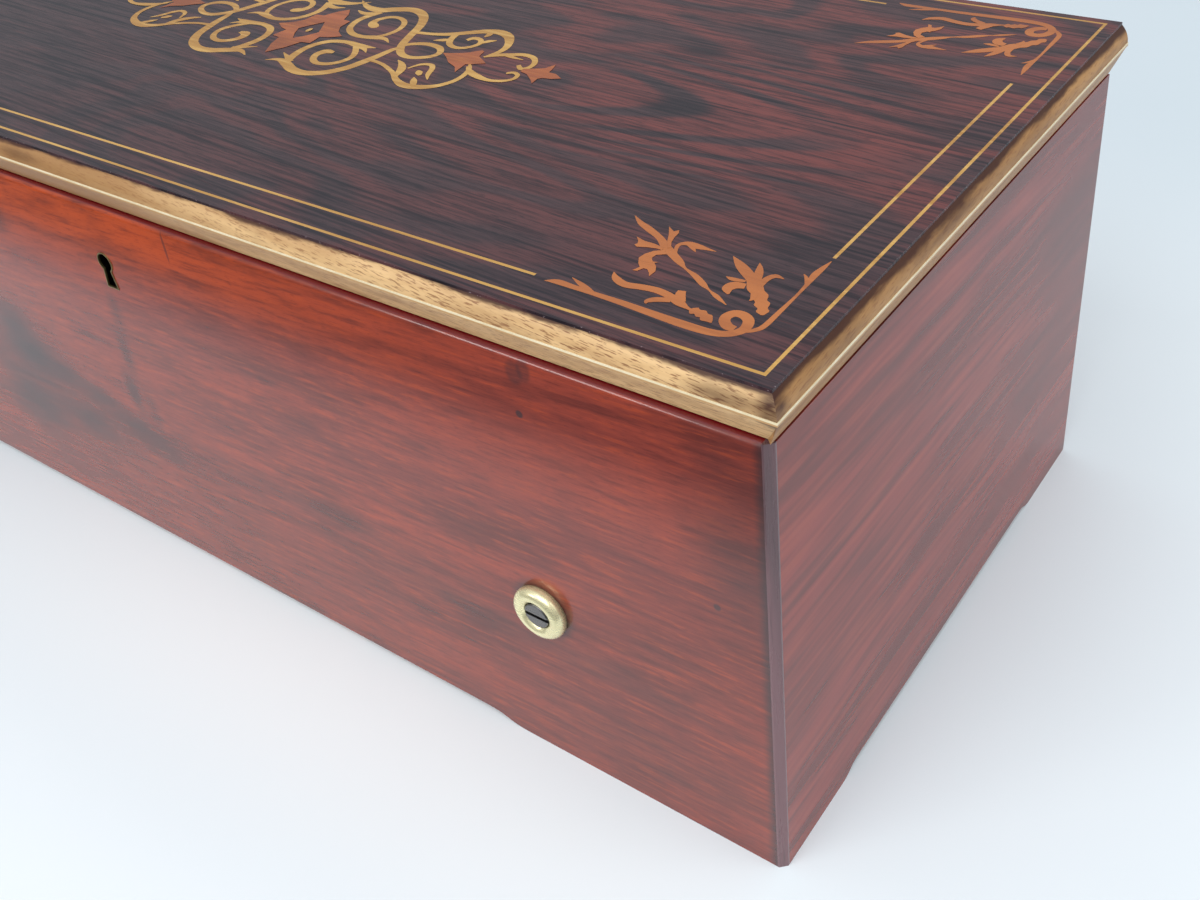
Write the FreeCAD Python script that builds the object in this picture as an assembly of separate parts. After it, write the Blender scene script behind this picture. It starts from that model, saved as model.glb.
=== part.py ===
# Cylinder music box: veneered case, hinged lid, inner glass lid and a lever-wound movement.
# Millimetres. Origin at the middle of the underside, X along the box, front towards -Y, Z up.

import math
import os

import FreeCAD
import Part

V = FreeCAD.Vector

# Case
CASE_LENGTH = 466.0
CASE_DEPTH = 200.0
CASE_HEIGHT = 144.5
WALL = 12.0
ARRIS_R = 2.2
BEAD_SIDE = 2.3
BEAD_BEVEL = 1.8
BASE_Z = 6.0
BASE_THICK = 8.0
FOOT_RISE = 2.5
FRONT_FOOT = 88.0
FRONT_OGEE = 14.0
END_FOOT = 32.0
END_OGEE = 9.0
COMPARTMENT = 39.0
PARTITION_THICK = 6.0
PARTITION_LOW = 6.5

# Lid
LID_GAP = 0.5
LID_THICK = 16.0
VENEER_THICK = 0.8
VENEER_OVERHANG = 1.8
RAIL_THICK = 5.0
RAIL_WIDTH = 12.0
MOULD_DEPTH = 6.0
LID_OVERHANG = 4.2
FRONT_SET_BACK = 1.6
END_SET_BACK = 0.2
EDGE_LINE_UP = 9.2
EDGE_LINE_TALL = 1.0
OVOLO_STEP = 0.2
OVOLO_BULGE = 0.6
LINE_WIDTH = 0.9
LINE_DEPTH = 0.5
LINE_INSET = 1.6
LINE_BACK_INSET = 2.6
LINE_SPACING = 8.5
LONG_LINE_STOP = 67.3
SHORT_LINE_STOP = (47.1, 51.7)

# Lid hinges
HINGE_INSET = 83.0
HINGE_LENGTH = 40.0
HINGE_R = 3.0
HINGE_PIN_R = 1.5
HINGE_LEAF = 1.2
HINGE_NOTCH = 0.3
LEAF_MARGIN = 1.0
KNUCKLES = 5
KNUCKLE_GAP = 0.3

# Lock
KEYHOLE_DROP = 20.6
KEYHOLE_R = 3.0
KEYHOLE_TALL = 8.9
KEYHOLE_FOOT = 2.4
KEYHOLE_WAIST = 1.5
LINER_THICK = 0.45
LINER_PROUD = 0.25
LOCK_HALF = 22.0
LOCK_TALL = 36.5
LOCK_DEPTH = 8.0
LOCK_POCKET = 4.0
LOCK_SHELL = 1.4
LOCK_SIDE = 2.0
LOCK_TOP_PLATE = 1.8
LOCK_LOW = 0.2
BOLT_DROP = 22.5
BOLT_TALL = 8.0
BOLT_TRAVEL = 5.0
BOLT_POST = 3.0
BOLT_SHORT = 0.5
LOOP_LEFT = (-9.0, 9.0)
LOOP_THICK = 2.0
LOOP_WIDTH = 4.0
LOOP_LENGTH = 13.5
LOOP_EYE_WIDTH = 2.6
LOOP_EYE_TALL = 4.0
LOOP_SILL = 1.5
LOOP_ROOM = 0.6
LINK_PLATE = 1.5
LINK_HALF_WIDTH = 5.0

# Glass lid
GLASS_DROP = 8.5
GLASS_TALL = 8.0
GLASS_FRONT_ROOM = 6.0
GLASS_BACK_ROOM = 2.5
GLASS_BAR = 14.0
GLASS_THICK = 2.0
GLASS_LAP = 4.0
GLASS_AXIS_INSET = 3.5
GLASS_PIVOT_R = 1.5
LEDGE = 6.0
LEDGE_SHORT = 8.0
SIDE_GAP = 0.3

# Bedplate and its screws
BED_DROP = 85.0
BED_THICK = 8.0
BED_END_ROOM = 4.0
LUG_REACH = 8.0
LUG_HALF = 7.0
SCREW_INSET = 11.6
SCREW_R = 2.0
SCREW_DEPTH = 12.0
SCREW_HOLE_R = 2.5
HEAD_R = 4.0
HEAD_TALL = 2.4
HEAD_ROUND = 0.4
HEAD_ROOM = 0.25
SLOT_WIDTH = 1.1
SLOT_DEPTH = 1.2
WASHER_R = 8.0
WASHER_TALL = 3.7
WASHER_SEAT = 0.8
WASHER_DIP = 0.9
WINDOW_ROOM = 2.5

# Running fits and gears
FIT = 0.05
BACKLASH = 0.3
PRESSURE = math.radians(20.0)
ADDENDUM = 0.9
DEDENDUM = 1.2

# Cylinder, comb and their wheels
CYL_BACK_ROOM = 70.0
CYL_UP = 34.0
CYL_R = 26.0
CYL_ARBOR_R = 3.0
CYL_END_ROOM = 4.0
DRIVE_MODULE = 1.0
DRIVE_PINION_TEETH = 15
DRIVE_PINION_WIDE = 4.8
BARREL_TEETH = 60
CYL_MODULE = 0.8
CYL_WHEEL_TEETH = 70
CYL_WHEEL_WIDE = 3.0
CYL_WHEEL_ROOM = 1.5
SNAIL_WIDE = 4.0
SNAIL_R = 14.0
SNAIL_STEP = 1.0
SNAIL_TUNES = 6
COMB_GAP = 1.1
COMB_PITCH = 2.5
COMB_MARGIN = 2.5
TOOTH_WIDTH = 2.0
TOOTH_THICK = 1.4
COMB_THICK = 3.0
BASS_SHARE = 0.69
TREBLE_SHARE = 0.41
COMB_EDGE_ROOM = 2.0
COMB_ABOVE_AXIS = 0.1
COMB_BASE_DEEP = 16.5
COMB_FOOT = 6.0
COMB_SCREWS = 6
COMB_SCREW_R = 1.3
COMB_SCREW_INSET = 10.0
COMB_HEAD_R = 2.8
COMB_HEAD_TALL = 1.8
COMB_SCREW_DEPTH = 10.0

# Spring barrel and winding
BARREL_ANGLE = math.radians(-35.0)
BARREL_WIDE = 42.0
BARREL_END_ROOM = 5.0
BARREL_R = 29.0
BARREL_SKIN = 1.5
BARREL_WHEEL_THICK = 4.0
BARREL_ARBOR_R = 4.0
ARBOR_HOLE_ROOM = 1.0
SPRING_THICK = 0.8
SPRING_PITCH = 2.6
SPRING_TURNS = 8
SPRING_START = 1.0
RATCHET_WIDE = 4.0
RATCHET_R = 14.0
RATCHET_DEPTH = 2.0
RATCHET_TEETH = 24
CLICK_STUD = (-6.0, 21.0)
CLICK_TIP = (5.0, 15.2)
CLICK_HALF = 1.6
CLICK_BOSS_R = 4.0
CLICK_ROOM = 0.2
WIND_HUB_WIDE = 6.0
WIND_HUB_R = 9.0
WIND_ARM_WIDE = 4.0
WIND_ROOM = 2.0
WIND_LENGTH = 105.0
WIND_ANGLE = math.radians(192.0)
WIND_ARM_HALF = 4.5
HANDLE_LENGTH = 18.0
HANDLE_R = 6.0
HANDLE_NECK = 3.0
HANDLE_FLARE = 1.0

# Bridges that carry the arbors
LEFT_BRIDGE_WIDE = 6.0
RIGHT_BRIDGE_WIDE = 5.0
BARREL_BRIDGE_WIDE = 5.0
BARREL_BRIDGE_R = 13.0
GOV_PLATE_WIDE = 4.0
BRIDGE_ROOM = 2.0
BRIDGE_SHOULDER = 12.0
BOSS_BEVEL = 4.0
BARREL_BOSS = 12.0
CYL_BOSS = 9.0
GOV_BOSS = 5.0

# Governor
FIRST_ANGLE = math.radians(-15.0)
FIRST_PINION_TEETH = 14
FIRST_MODULE = 0.6
FIRST_WHEEL_TEETH = 48
FIRST_WHEEL_WIDE = 2.3
FIRST_ARBOR_R = 2.0
SECOND_ANGLE = math.radians(55.0)
SECOND_PINION_TEETH = 12
SECOND_ARBOR_R = 1.6
PINION_WIDER = 0.5
WORM_WHEEL_TEETH = 24
WORM_MODULE = 0.6
WORM_ROOM = 10.0
WORM_WHEEL_THICK = 1.6
WORM_STARTS = 3
WORM_PITCH_R = 3.2
WORM_CORE_R = 2.4
WORM_TOP_R = 3.8
WORM_TALL = 10.0
WORM_RUN_IN = 0.2
WORM_RUN_OUT = 1.0
WORM_ROOT_HALF = 0.36
WORM_CREST_HALF = 0.18
WORM_SINK = 0.3
WORM_ARBOR_R = 1.2
FLY_R = 11.0
FLY_TALL = 7.0
FLY_THICK = 0.8
FLY_HUB_R = 2.6
FLY_HUB_MORE = 1.0
FLY_ROOM = 2.0
WORM_POST = 4.5
WORM_ARM_HALF = 5.0
LOWER_ARM_UP = 20.5
LOWER_ARM_TALL = 4.0
UPPER_ARM_UP = 54.5
UPPER_ARM_TALL = 3.0

# Start and change levers
START_BEHIND = 20.0
CHANGE_AHEAD = 40.0
LEVER_UP = 40.5
LEVER_SHAFT_R = 2.5
LEVER_HOLE_ROOM = 0.7
LEVER_BRACKET_WIDE = 6.0
LEVER_BRACKET_R = 7.0
LEVER_BRACKET_FOOT = 10.0
LEVER_WIDE = 4.0
LEVER_OUT = 14.0
LEVER_TALL = 32.0
LEVER_HALF = 3.0
LEVER_LEAN = math.radians(12.0)
LEVER_KNOB_R = 4.0
LEVER_BOSS_R = 6.0
START_REACH = 33.0
START_HALF = 2.4
BRAKE_ROOM = 1.0
BRAKE_R = 1.2
CHANGE_WIDE = 3.0
CHANGE_REACH = 24.0
CHANGE_HALF = 1.2
CHANGE_BOSS_R = 5.0
CHANGE_ANGLE = math.radians(14.0)


def pitch_radius(teeth, module):
    return teeth * module / 2


def stepped(y, z, distance, angle):
    return (y + distance * math.cos(angle), z + distance * math.sin(angle))


def span(start, width):
    return (start, start + width)


# Case and lid positions
HALF_L = CASE_LENGTH / 2
HALF_D = CASE_DEPTH / 2
INNER_L = HALF_L - WALL
INNER_D = HALF_D - WALL
BASE_TOP = BASE_Z + BASE_THICK
PARTITION_OUT = INNER_L - COMPARTMENT
PARTITION_X = PARTITION_OUT - PARTITION_THICK
PARTITION_TOP = CASE_HEIGHT - PARTITION_LOW
LID_BOTTOM = CASE_HEIGHT + LID_GAP
LID_TOP = LID_BOTTOM + LID_THICK
LID_BOARD_TOP = LID_TOP - VENEER_THICK
LID_BOARD_BOTTOM = LID_BOTTOM + RAIL_THICK
EDGE_LINE_Z = LID_BOTTOM + EDGE_LINE_UP
BOARD_X = HALF_L - MOULD_DEPTH
BOARD_FRONT = -(HALF_D - MOULD_DEPTH)
HINGE_X = HALF_L - HINGE_INSET
HINGE_Y = HALF_D + LID_OVERHANG - HINGE_R
HINGE_Z = CASE_HEIGHT + LID_GAP / 2
LEAF_FRONT = INNER_D + LEAF_MARGIN

# Lock and glass lid positions
KEYHOLE_Z = CASE_HEIGHT - KEYHOLE_DROP
LOCK_FRONT = -INNER_D - LOCK_POCKET
LOCK_BACK = LOCK_FRONT + LOCK_DEPTH
LOCK_TOP = CASE_HEIGHT - LOCK_LOW
LOCK_BOTTOM = CASE_HEIGHT - LOCK_TALL
LOCK_MID = (LOCK_FRONT + LOCK_BACK) / 2
LOCK_ROOM_Y = (LOCK_FRONT + LOCK_SHELL, LOCK_BACK - LOCK_SHELL)
BOLT_Z = CASE_HEIGHT - BOLT_DROP
LOOP_BOTTOM = LID_BOTTOM - LOOP_LENGTH
LOOP_EYE = span(LOOP_BOTTOM + LOOP_SILL, LOOP_EYE_TALL)
LINK_Y = (LOCK_MID - LINK_HALF_WIDTH, LOCK_MID + LINK_HALF_WIDTH)
GLASS_TOP = CASE_HEIGHT - GLASS_DROP
GLASS_BOTTOM = GLASS_TOP - GLASS_TALL
GLASS_AXIS_Z = (GLASS_BOTTOM + GLASS_TOP) / 2
GLASS_FRONT = -INNER_D + GLASS_FRONT_ROOM
GLASS_BACK = INNER_D - GLASS_BACK_ROOM
GLASS_AXIS_Y = GLASS_BACK - GLASS_AXIS_INSET
GLASS_X = PARTITION_X - SIDE_GAP

# Movement positions along the box
BED_HALF = PARTITION_X - BED_END_ROOM
BED_DEPTH = INNER_D - LUG_REACH
SCREW_X = BED_HALF - SCREW_INSET
BARREL_BRIDGE_X = span(-BED_HALF + BRIDGE_ROOM, BARREL_BRIDGE_WIDE)
BARREL_X = span(BARREL_BRIDGE_X[1] + BARREL_END_ROOM, BARREL_WIDE)
WHEEL_X = span(BARREL_X[1], BARREL_WHEEL_THICK)
DRIVE_PINION_X = span(BARREL_X[1] + CLICK_ROOM, DRIVE_PINION_WIDE)
LEFT_BRIDGE_X = span(DRIVE_PINION_X[1] + CYL_END_ROOM - 1, LEFT_BRIDGE_WIDE)
CYL_HALF = -(LEFT_BRIDGE_X[1] + CYL_END_ROOM)
CYL_WHEEL_X = span(CYL_HALF + CYL_WHEEL_ROOM, CYL_WHEEL_WIDE)
RIGHT_BRIDGE_X = span(CYL_WHEEL_X[1] + BRIDGE_ROOM + PINION_WIDER, RIGHT_BRIDGE_WIDE)
SNAIL_X = span(RIGHT_BRIDGE_X[1] + BRIDGE_ROOM, SNAIL_WIDE)
CYL_ARBOR = (DRIVE_PINION_X[0] - BRIDGE_ROOM, SNAIL_X[1] + PINION_WIDER)
FIRST_WHEEL_X = span(CYL_ARBOR[1] + CLICK_ROOM, FIRST_WHEEL_WIDE)
WORM_X = FIRST_WHEEL_X[1] + WORM_ROOM
GOV_PLATE_X = span(WORM_X + FLY_R - FLY_ROOM, GOV_PLATE_WIDE)
BRAKE_END = WORM_X + FLY_R + BRAKE_ROOM
START_X = span(GOV_PLATE_X[1] + WORM_ROOM, LEVER_WIDE)
LEVER_BRACKET_X = span(START_X[1] + BRIDGE_ROOM, LEVER_BRACKET_WIDE)
LEVER_HANDLE_X = span(PARTITION_OUT + LEVER_OUT, LEVER_WIDE)
LEVER_END = LEVER_HANDLE_X[1] + BRAKE_ROOM
CHANGE_X = span(SNAIL_X[0] + PINION_WIDER, CHANGE_WIDE)
RATCHET_X = (-PARTITION_OUT - 2 * RATCHET_WIDE, -PARTITION_OUT - RATCHET_WIDE)
WIND_HUB_X = (RATCHET_X[0] - WIND_ROOM - WIND_HUB_WIDE, RATCHET_X[0] - WIND_ROOM)
WIND_ARM_X = (WIND_HUB_X[0] + 1, WIND_HUB_X[0] + 1 + WIND_ARM_WIDE)
BARREL_ARBOR = (WIND_HUB_X[0] - 1, LEFT_BRIDGE_X[1])

# Movement positions from front to back and in height
BED_MID_Z = CASE_HEIGHT - BED_DROP
BED_BOTTOM = BED_MID_Z - BED_THICK / 2
BED_TOP = BED_MID_Z + BED_THICK / 2
CYL_Y = BED_DEPTH - CYL_BACK_ROOM
CYL_Z = BED_MID_Z + CYL_UP
COMB_TIP = CYL_Y - CYL_R - COMB_GAP
COMB_BACK = -BED_DEPTH + COMB_EDGE_ROOM
COMB_BASE_FRONT = COMB_BACK + COMB_BASE_DEEP
COMB_Z = CYL_Z + COMB_ABOVE_AXIS
COMB_TEETH = int((2 * CYL_HALF - 2 * COMB_MARGIN) / COMB_PITCH)
BASS_TOOTH = BASS_SHARE * (COMB_TIP - COMB_BACK)
TREBLE_TOOTH = TREBLE_SHARE * (COMB_TIP - COMB_BACK)
DRIVE_DISTANCE = pitch_radius(DRIVE_PINION_TEETH + BARREL_TEETH, DRIVE_MODULE)
BARREL_Y, BARREL_Z = stepped(CYL_Y, CYL_Z, DRIVE_DISTANCE, BARREL_ANGLE)
FIRST_DISTANCE = pitch_radius(CYL_WHEEL_TEETH + FIRST_PINION_TEETH, CYL_MODULE)
FIRST_Y, FIRST_Z = stepped(CYL_Y, CYL_Z, FIRST_DISTANCE, FIRST_ANGLE)
SECOND_DISTANCE = pitch_radius(FIRST_WHEEL_TEETH + SECOND_PINION_TEETH, FIRST_MODULE)
SECOND_Y, SECOND_Z = stepped(FIRST_Y, FIRST_Z, SECOND_DISTANCE, SECOND_ANGLE)
WORM_Y = SECOND_Y + pitch_radius(WORM_WHEEL_TEETH, WORM_MODULE) + WORM_PITCH_R
WORM_LEAD = WORM_STARTS * math.pi * WORM_MODULE
WORM_POST_Y = (BED_DEPTH - WORM_POST, BED_DEPTH)
LOWER_ARM_Z = span(BED_TOP + LOWER_ARM_UP, LOWER_ARM_TALL)
UPPER_ARM_Z = span(BED_TOP + UPPER_ARM_UP, UPPER_ARM_TALL)
FLY_Z = (UPPER_ARM_Z[0] - FLY_ROOM - FLY_TALL, UPPER_ARM_Z[0] - FLY_ROOM)
LEVER_Z = BED_MID_Z + LEVER_UP
START_Y = CYL_Y + START_BEHIND
CHANGE_Y = CYL_Y - CHANGE_AHEAD


# Shape helpers
def block(x, y, z):
    return Part.makeBox(x[1] - x[0], y[1] - y[0], z[1] - z[0], V(x[0], y[0], z[0]))


def rod_x(radius, x, y, z):
    return Part.makeCylinder(radius, x[1] - x[0], V(x[0], y, z), V(1, 0, 0))


def rod_y(radius, y, x, z):
    return Part.makeCylinder(radius, y[1] - y[0], V(x, y[0], z), V(0, 1, 0))


def rod_z(radius, z, x, y):
    return Part.makeCylinder(radius, z[1] - z[0], V(x, y, z[0]), V(0, 0, 1))


def closed_face(points):
    return Part.Face(Part.makePolygon(points + points[:1]))


def plan(points, z):
    return closed_face([V(x, y, z[0]) for x, y in points]).extrude(V(0, 0, z[1] - z[0]))


def side(points, x):
    return closed_face([V(x[0], y, z) for y, z in points]).extrude(V(x[1] - x[0], 0, 0))


def mirrored(shape):
    return shape.mirror(V(0, 0, 0), V(1, 0, 0))


def both_sides(shape):
    return [shape, mirrored(shape)]


def front_to_back(shape):
    return shape.mirror(V(0, 0, 0), V(0, 1, 0))


def fused(shapes):
    return shapes[0].multiFuse(shapes[1:]).removeSplitter()


def bar_between(start, end, half, x):
    """A flat bar of round ends from start to end in the YZ plane, over the X span."""
    along = (end[0] - start[0], end[1] - start[1])
    length = math.hypot(*along)
    across = (-along[1] / length * half, along[0] / length * half)
    corners = [
        (start[0] + across[0], start[1] + across[1]),
        (end[0] + across[0], end[1] + across[1]),
        (end[0] - across[0], end[1] - across[1]),
        (start[0] - across[0], start[1] - across[1]),
    ]
    return fused([side(corners, x), rod_x(half, x, *start), rod_x(half, x, *end)])


def gear(teeth, module, x, centre, bore, phase):
    """A spur wheel on an X axis with one tooth centred at the phase angle."""
    pitch_r = pitch_radius(teeth, module)
    base_r = pitch_r * math.cos(PRESSURE)
    root_r = pitch_r - DEDENDUM * module
    tip_r = pitch_r + ADDENDUM * module
    half_pitch = (math.pi * module / 2 - BACKLASH) / (2 * pitch_r)
    pressure_inv = math.tan(PRESSURE) - PRESSURE

    def half_angle(radius):
        turn = math.acos(min(1.0, base_r / radius))
        return half_pitch + pressure_inv - (math.tan(turn) - turn)

    radii = [root_r, max(base_r, root_r + 0.1), pitch_r, (pitch_r + tip_r) / 2, tip_r]
    flank = [(radius, half_angle(radius)) for radius in radii]
    outline = []
    for tooth in range(teeth):
        middle = phase + 2 * math.pi * tooth / teeth
        outline += [stepped(*centre, radius, middle - half) for radius, half in flank]
        outline += [stepped(*centre, radius, middle + half) for radius, half in reversed(flank)]
    return side(outline, x).cut(rod_x(bore, x, *centre))


def meshed(phase, teeth):
    """The phase of a wheel whose gap takes the tooth that points at it from the phase direction."""
    return phase + math.pi + math.pi / teeth


def slotted_head(radius, tall):
    """A screw head on the XY plane with its slot in the top."""
    head = Part.makeCylinder(radius, tall)
    head = head.makeFillet(HEAD_ROUND, [edge for edge in head.Edges if edge.BoundBox.ZMin > tall - 0.01])
    slot = block((-radius, radius), (-SLOT_WIDTH / 2, SLOT_WIDTH / 2), (tall - SLOT_DEPTH, tall))
    return head.cut(slot)


def save(name, shapes):
    if not isinstance(shapes, list):
        shapes = [shapes]
    Part.makeCompound(shapes).exportStep("parts/" + name + ".step")


# Case
def ogee(start, run, rise):
    """Two equal arcs that rise from level to level, in plan distance and height."""
    radius = (run * run + rise * rise) / (4 * rise)
    quarter = radius - math.sqrt(radius * radius - run * run / 16)
    first = [(0.0, 0.0), (run / 4, quarter), (run / 2, rise / 2)]
    second = [(run - along, rise - height) for along, height in reversed(first)]
    return [[(start + along, height) for along, height in arc] for arc in (first, second)]


def foot_cutter(half, foot, run, place):
    """The shallow recess between two feet, as a flat face for extruding."""
    left = ogee(-half + foot, run, FOOT_RISE)
    right = [[(-along, height) for along, height in reversed(arc)] for arc in reversed(left)]
    edges = []
    for arc in left + right:
        edges.append(Part.Arc(*[place(*point) for point in arc]).toShape())
    edges.insert(2, Part.makeLine(place(*left[1][2]), place(*right[0][0])))
    edges.append(Part.makeLine(place(*right[1][2]), place(*left[0][0])))
    return Part.Face(Part.Wire(edges))


def long_foot_recess():
    face = foot_cutter(HALF_L, FRONT_FOOT, FRONT_OGEE, lambda u, z: V(u, -HALF_D, z))
    return face.extrude(V(0, CASE_DEPTH, 0))


def end_foot_recess():
    face = foot_cutter(HALF_D, END_FOOT, END_OGEE, lambda u, z: V(-HALF_L, u, z))
    return face.extrude(V(CASE_LENGTH, 0, 0))


def keyhole_wire(y):
    """Round top, waist and spreading foot."""
    shoulder_z = KEYHOLE_Z - math.sqrt(KEYHOLE_R ** 2 - KEYHOLE_WAIST ** 2)
    foot_z = KEYHOLE_Z - KEYHOLE_TALL
    foot_left = V(-KEYHOLE_FOOT, y, foot_z)
    foot_right = V(KEYHOLE_FOOT, y, foot_z)
    waist_left = V(-KEYHOLE_WAIST, y, shoulder_z)
    waist_right = V(KEYHOLE_WAIST, y, shoulder_z)
    return Part.Wire([
        Part.makeLine(foot_left, foot_right),
        Part.makeLine(foot_right, waist_right),
        Part.Arc(waist_right, V(0, y, KEYHOLE_Z + KEYHOLE_R), waist_left).toShape(),
        Part.makeLine(waist_left, foot_left),
    ])


def keyhole(y, spread=0.0):
    wire = keyhole_wire(y[0])
    if spread:
        wire = wire.makeOffset2D(spread)
    return Part.Face(wire).extrude(V(0, y[1] - y[0], 0))


def screw_holes():
    return [
        rod_y(SCREW_HOLE_R, (-HALF_D, HALF_D), x, BED_MID_Z)
        for x in (-SCREW_X, SCREW_X)
    ]


def front_panel():
    bead_x = HALF_L - BEAD_SIDE
    outline = [
        (-bead_x, -HALF_D),
        (bead_x, -HALF_D),
        (bead_x, -HALF_D + BEAD_SIDE),
        (INNER_L, -INNER_D),
        (-INNER_L, -INNER_D),
        (-bead_x, -HALF_D + BEAD_SIDE),
    ]
    panel = plan(outline, (0, CASE_HEIGHT))
    arris = [
        edge for edge in panel.Edges
        if edge.BoundBox.ZMin > CASE_HEIGHT - 0.01 and edge.BoundBox.YMax < -HALF_D + 0.01
    ]
    panel = panel.makeFillet(ARRIS_R, arris)
    pocket = block((-LOCK_HALF, LOCK_HALF), (LOCK_FRONT, -INNER_D), (LOCK_BOTTOM, CASE_HEIGHT))
    hole = keyhole((-HALF_D, LOCK_FRONT), LINER_THICK)
    return panel.cut([pocket, hole, long_foot_recess()] + screw_holes())


def hinge_axis_rod(radius, extra):
    reach = (HINGE_X - HINGE_LENGTH / 2 - extra, HINGE_X + HINGE_LENGTH / 2 + extra)
    return rod_x(radius, reach, HINGE_Y, HINGE_Z)


def leaf_recess(z):
    return block(span(HINGE_X - HINGE_LENGTH / 2, HINGE_LENGTH), (LEAF_FRONT, HALF_D), z)


def hinge_room(leaf_z):
    """What both hinges take out of the wood that carries their leaves."""
    cutters = [leaf_recess(leaf_z), hinge_axis_rod(HINGE_R + HINGE_NOTCH, HINGE_NOTCH)]
    return cutters + [mirrored(cutter) for cutter in cutters]


def back_panel():
    outline = [(-HALF_L, HALF_D), (HALF_L, HALF_D), (INNER_L, INNER_D), (-INNER_L, INNER_D)]
    panel = plan(outline, (0, CASE_HEIGHT))
    leaf_z = (CASE_HEIGHT - HINGE_LEAF, CASE_HEIGHT)
    return panel.cut([long_foot_recess()] + screw_holes() + hinge_room(leaf_z))


def right_end():
    outline = [
        (HALF_L, -HALF_D + BEAD_SIDE),
        (HALF_L, HALF_D),
        (INNER_L, INNER_D),
        (INNER_L, -INNER_D),
        (HALF_L - BEAD_SIDE, -HALF_D + BEAD_SIDE),
    ]
    return plan(outline, (0, CASE_HEIGHT)).cut(end_foot_recess())


def corner_bead():
    outline = [
        (HALF_L - BEAD_SIDE, -HALF_D),
        (HALF_L - BEAD_BEVEL, -HALF_D),
        (HALF_L, -HALF_D + BEAD_BEVEL),
        (HALF_L, -HALF_D + BEAD_SIDE),
        (HALF_L - BEAD_SIDE, -HALF_D + BEAD_SIDE),
    ]
    return plan(outline, (0, CASE_HEIGHT))


def partition():
    board = block((PARTITION_X, PARTITION_OUT), (-INNER_D, INNER_D), (BASE_TOP, PARTITION_TOP))
    return board.cut(glass_pivot())


def left_partition():
    through = (-PARTITION_OUT, -PARTITION_X)
    hole = rod_x(BARREL_ARBOR_R + ARBOR_HOLE_ROOM, through, BARREL_Y, BARREL_Z)
    return mirrored(partition()).cut(hole)


def right_partition():
    through = (PARTITION_X, PARTITION_OUT)
    radius = LEVER_SHAFT_R + LEVER_HOLE_ROOM
    return partition().cut([rod_x(radius, through, y, LEVER_Z) for y in (CHANGE_Y, START_Y)])


def save_case():
    end = right_end()
    save("front_panel", front_panel())
    save("back_panel", back_panel())
    save("right_end", end)
    save("left_end", mirrored(end))
    save("corner_beads", both_sides(corner_bead()))
    save("base_board", block((-INNER_L, INNER_L), (-INNER_D, INNER_D), (BASE_Z, BASE_TOP)))
    save("left_partition", left_partition())
    save("right_partition", right_partition())


# Lock
def keyhole_liner():
    reach = (-HALF_D - LINER_PROUD, LOCK_FRONT)
    return keyhole(reach, LINER_THICK).cut(keyhole(reach))


def lock_case():
    shell = block((-LOCK_HALF, LOCK_HALF), (LOCK_FRONT, LOCK_BACK), (LOCK_BOTTOM, LOCK_TOP))
    inner_x = LOCK_HALF - LOCK_SIDE
    plate_z = (LOCK_TOP - LOCK_TOP_PLATE, LOCK_TOP)
    bolt_room = block((-inner_x, inner_x), LOCK_ROOM_Y, (BOLT_Z, plate_z[0]))
    key_room = block((-inner_x / 2, inner_x / 2), LOCK_ROOM_Y, (LOCK_BOTTOM + LOCK_SIDE, BOLT_Z))
    slots = [
        block((left - LOOP_ROOM, left + LOOP_THICK + LOOP_ROOM), LOCK_ROOM_Y, plate_z)
        for left in LOOP_LEFT
    ]
    return shell.cut([bolt_room, key_room, keyhole((LOCK_FRONT, LOCK_ROOM_Y[0]))] + slots)


def lock_bolt():
    """A bar with two hooks whose fingers slide into the loops of the lid's plate."""
    finger_half = LOOP_EYE_WIDTH / 2 - CLICK_ROOM
    finger_y = (LOCK_MID - finger_half, LOCK_MID + finger_half)
    finger_z = (LOOP_EYE[0] + LOOP_ROOM, LOOP_EYE[1] - LOOP_ROOM)
    finger = BOLT_TRAVEL + 1
    bar_y = (LOCK_ROOM_Y[0] + HEAD_ROOM, LOCK_ROOM_Y[1] - HEAD_ROOM)
    bar_top = BOLT_Z + BOLT_TALL
    hooks = []
    for left in LOOP_LEFT:
        root = left - BOLT_SHORT - finger
        hooks.append(block((root - BOLT_POST, root), finger_y, (bar_top, LOOP_EYE[1])))
        hooks.append(block((root, root + finger), finger_y, finger_z))
    bar_left = LOOP_LEFT[0] - BOLT_SHORT - finger - BOLT_POST
    return fused([block((bar_left, LOOP_LEFT[1]), bar_y, (BOLT_Z + FIT, bar_top))] + hooks)


def link_plate_block():
    return block((-LOCK_HALF, LOCK_HALF), LINK_Y, span(LID_BOTTOM, LINK_PLATE))


def link_plate():
    """The lid's half of the lock: a let-in plate with two loops."""
    half = LOOP_WIDTH / 2
    eye_half = LOOP_EYE_WIDTH / 2
    pieces = [link_plate_block()]
    for left in LOOP_LEFT:
        wide = span(left, LOOP_THICK)
        loop = block(wide, (LOCK_MID - half, LOCK_MID + half), (LOOP_BOTTOM, LID_BOTTOM))
        pieces.append(loop.cut(block(wide, (LOCK_MID - eye_half, LOCK_MID + eye_half), LOOP_EYE)))
    return fused(pieces)


def save_lock():
    save("keyhole_escutcheon", keyhole_liner())
    save("lock_case", lock_case())
    save("lock_bolt", lock_bolt())
    save("lock_link_plate", link_plate())


# Hinges
def knuckles(first):
    """Every other knuckle along the hinge, starting with the first or the second."""
    wide = (HINGE_LENGTH - (KNUCKLES - 1) * KNUCKLE_GAP) / KNUCKLES
    start = HINGE_X - HINGE_LENGTH / 2
    return [span(start + index * (wide + KNUCKLE_GAP), wide) for index in range(first, KNUCKLES, 2)]


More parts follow.
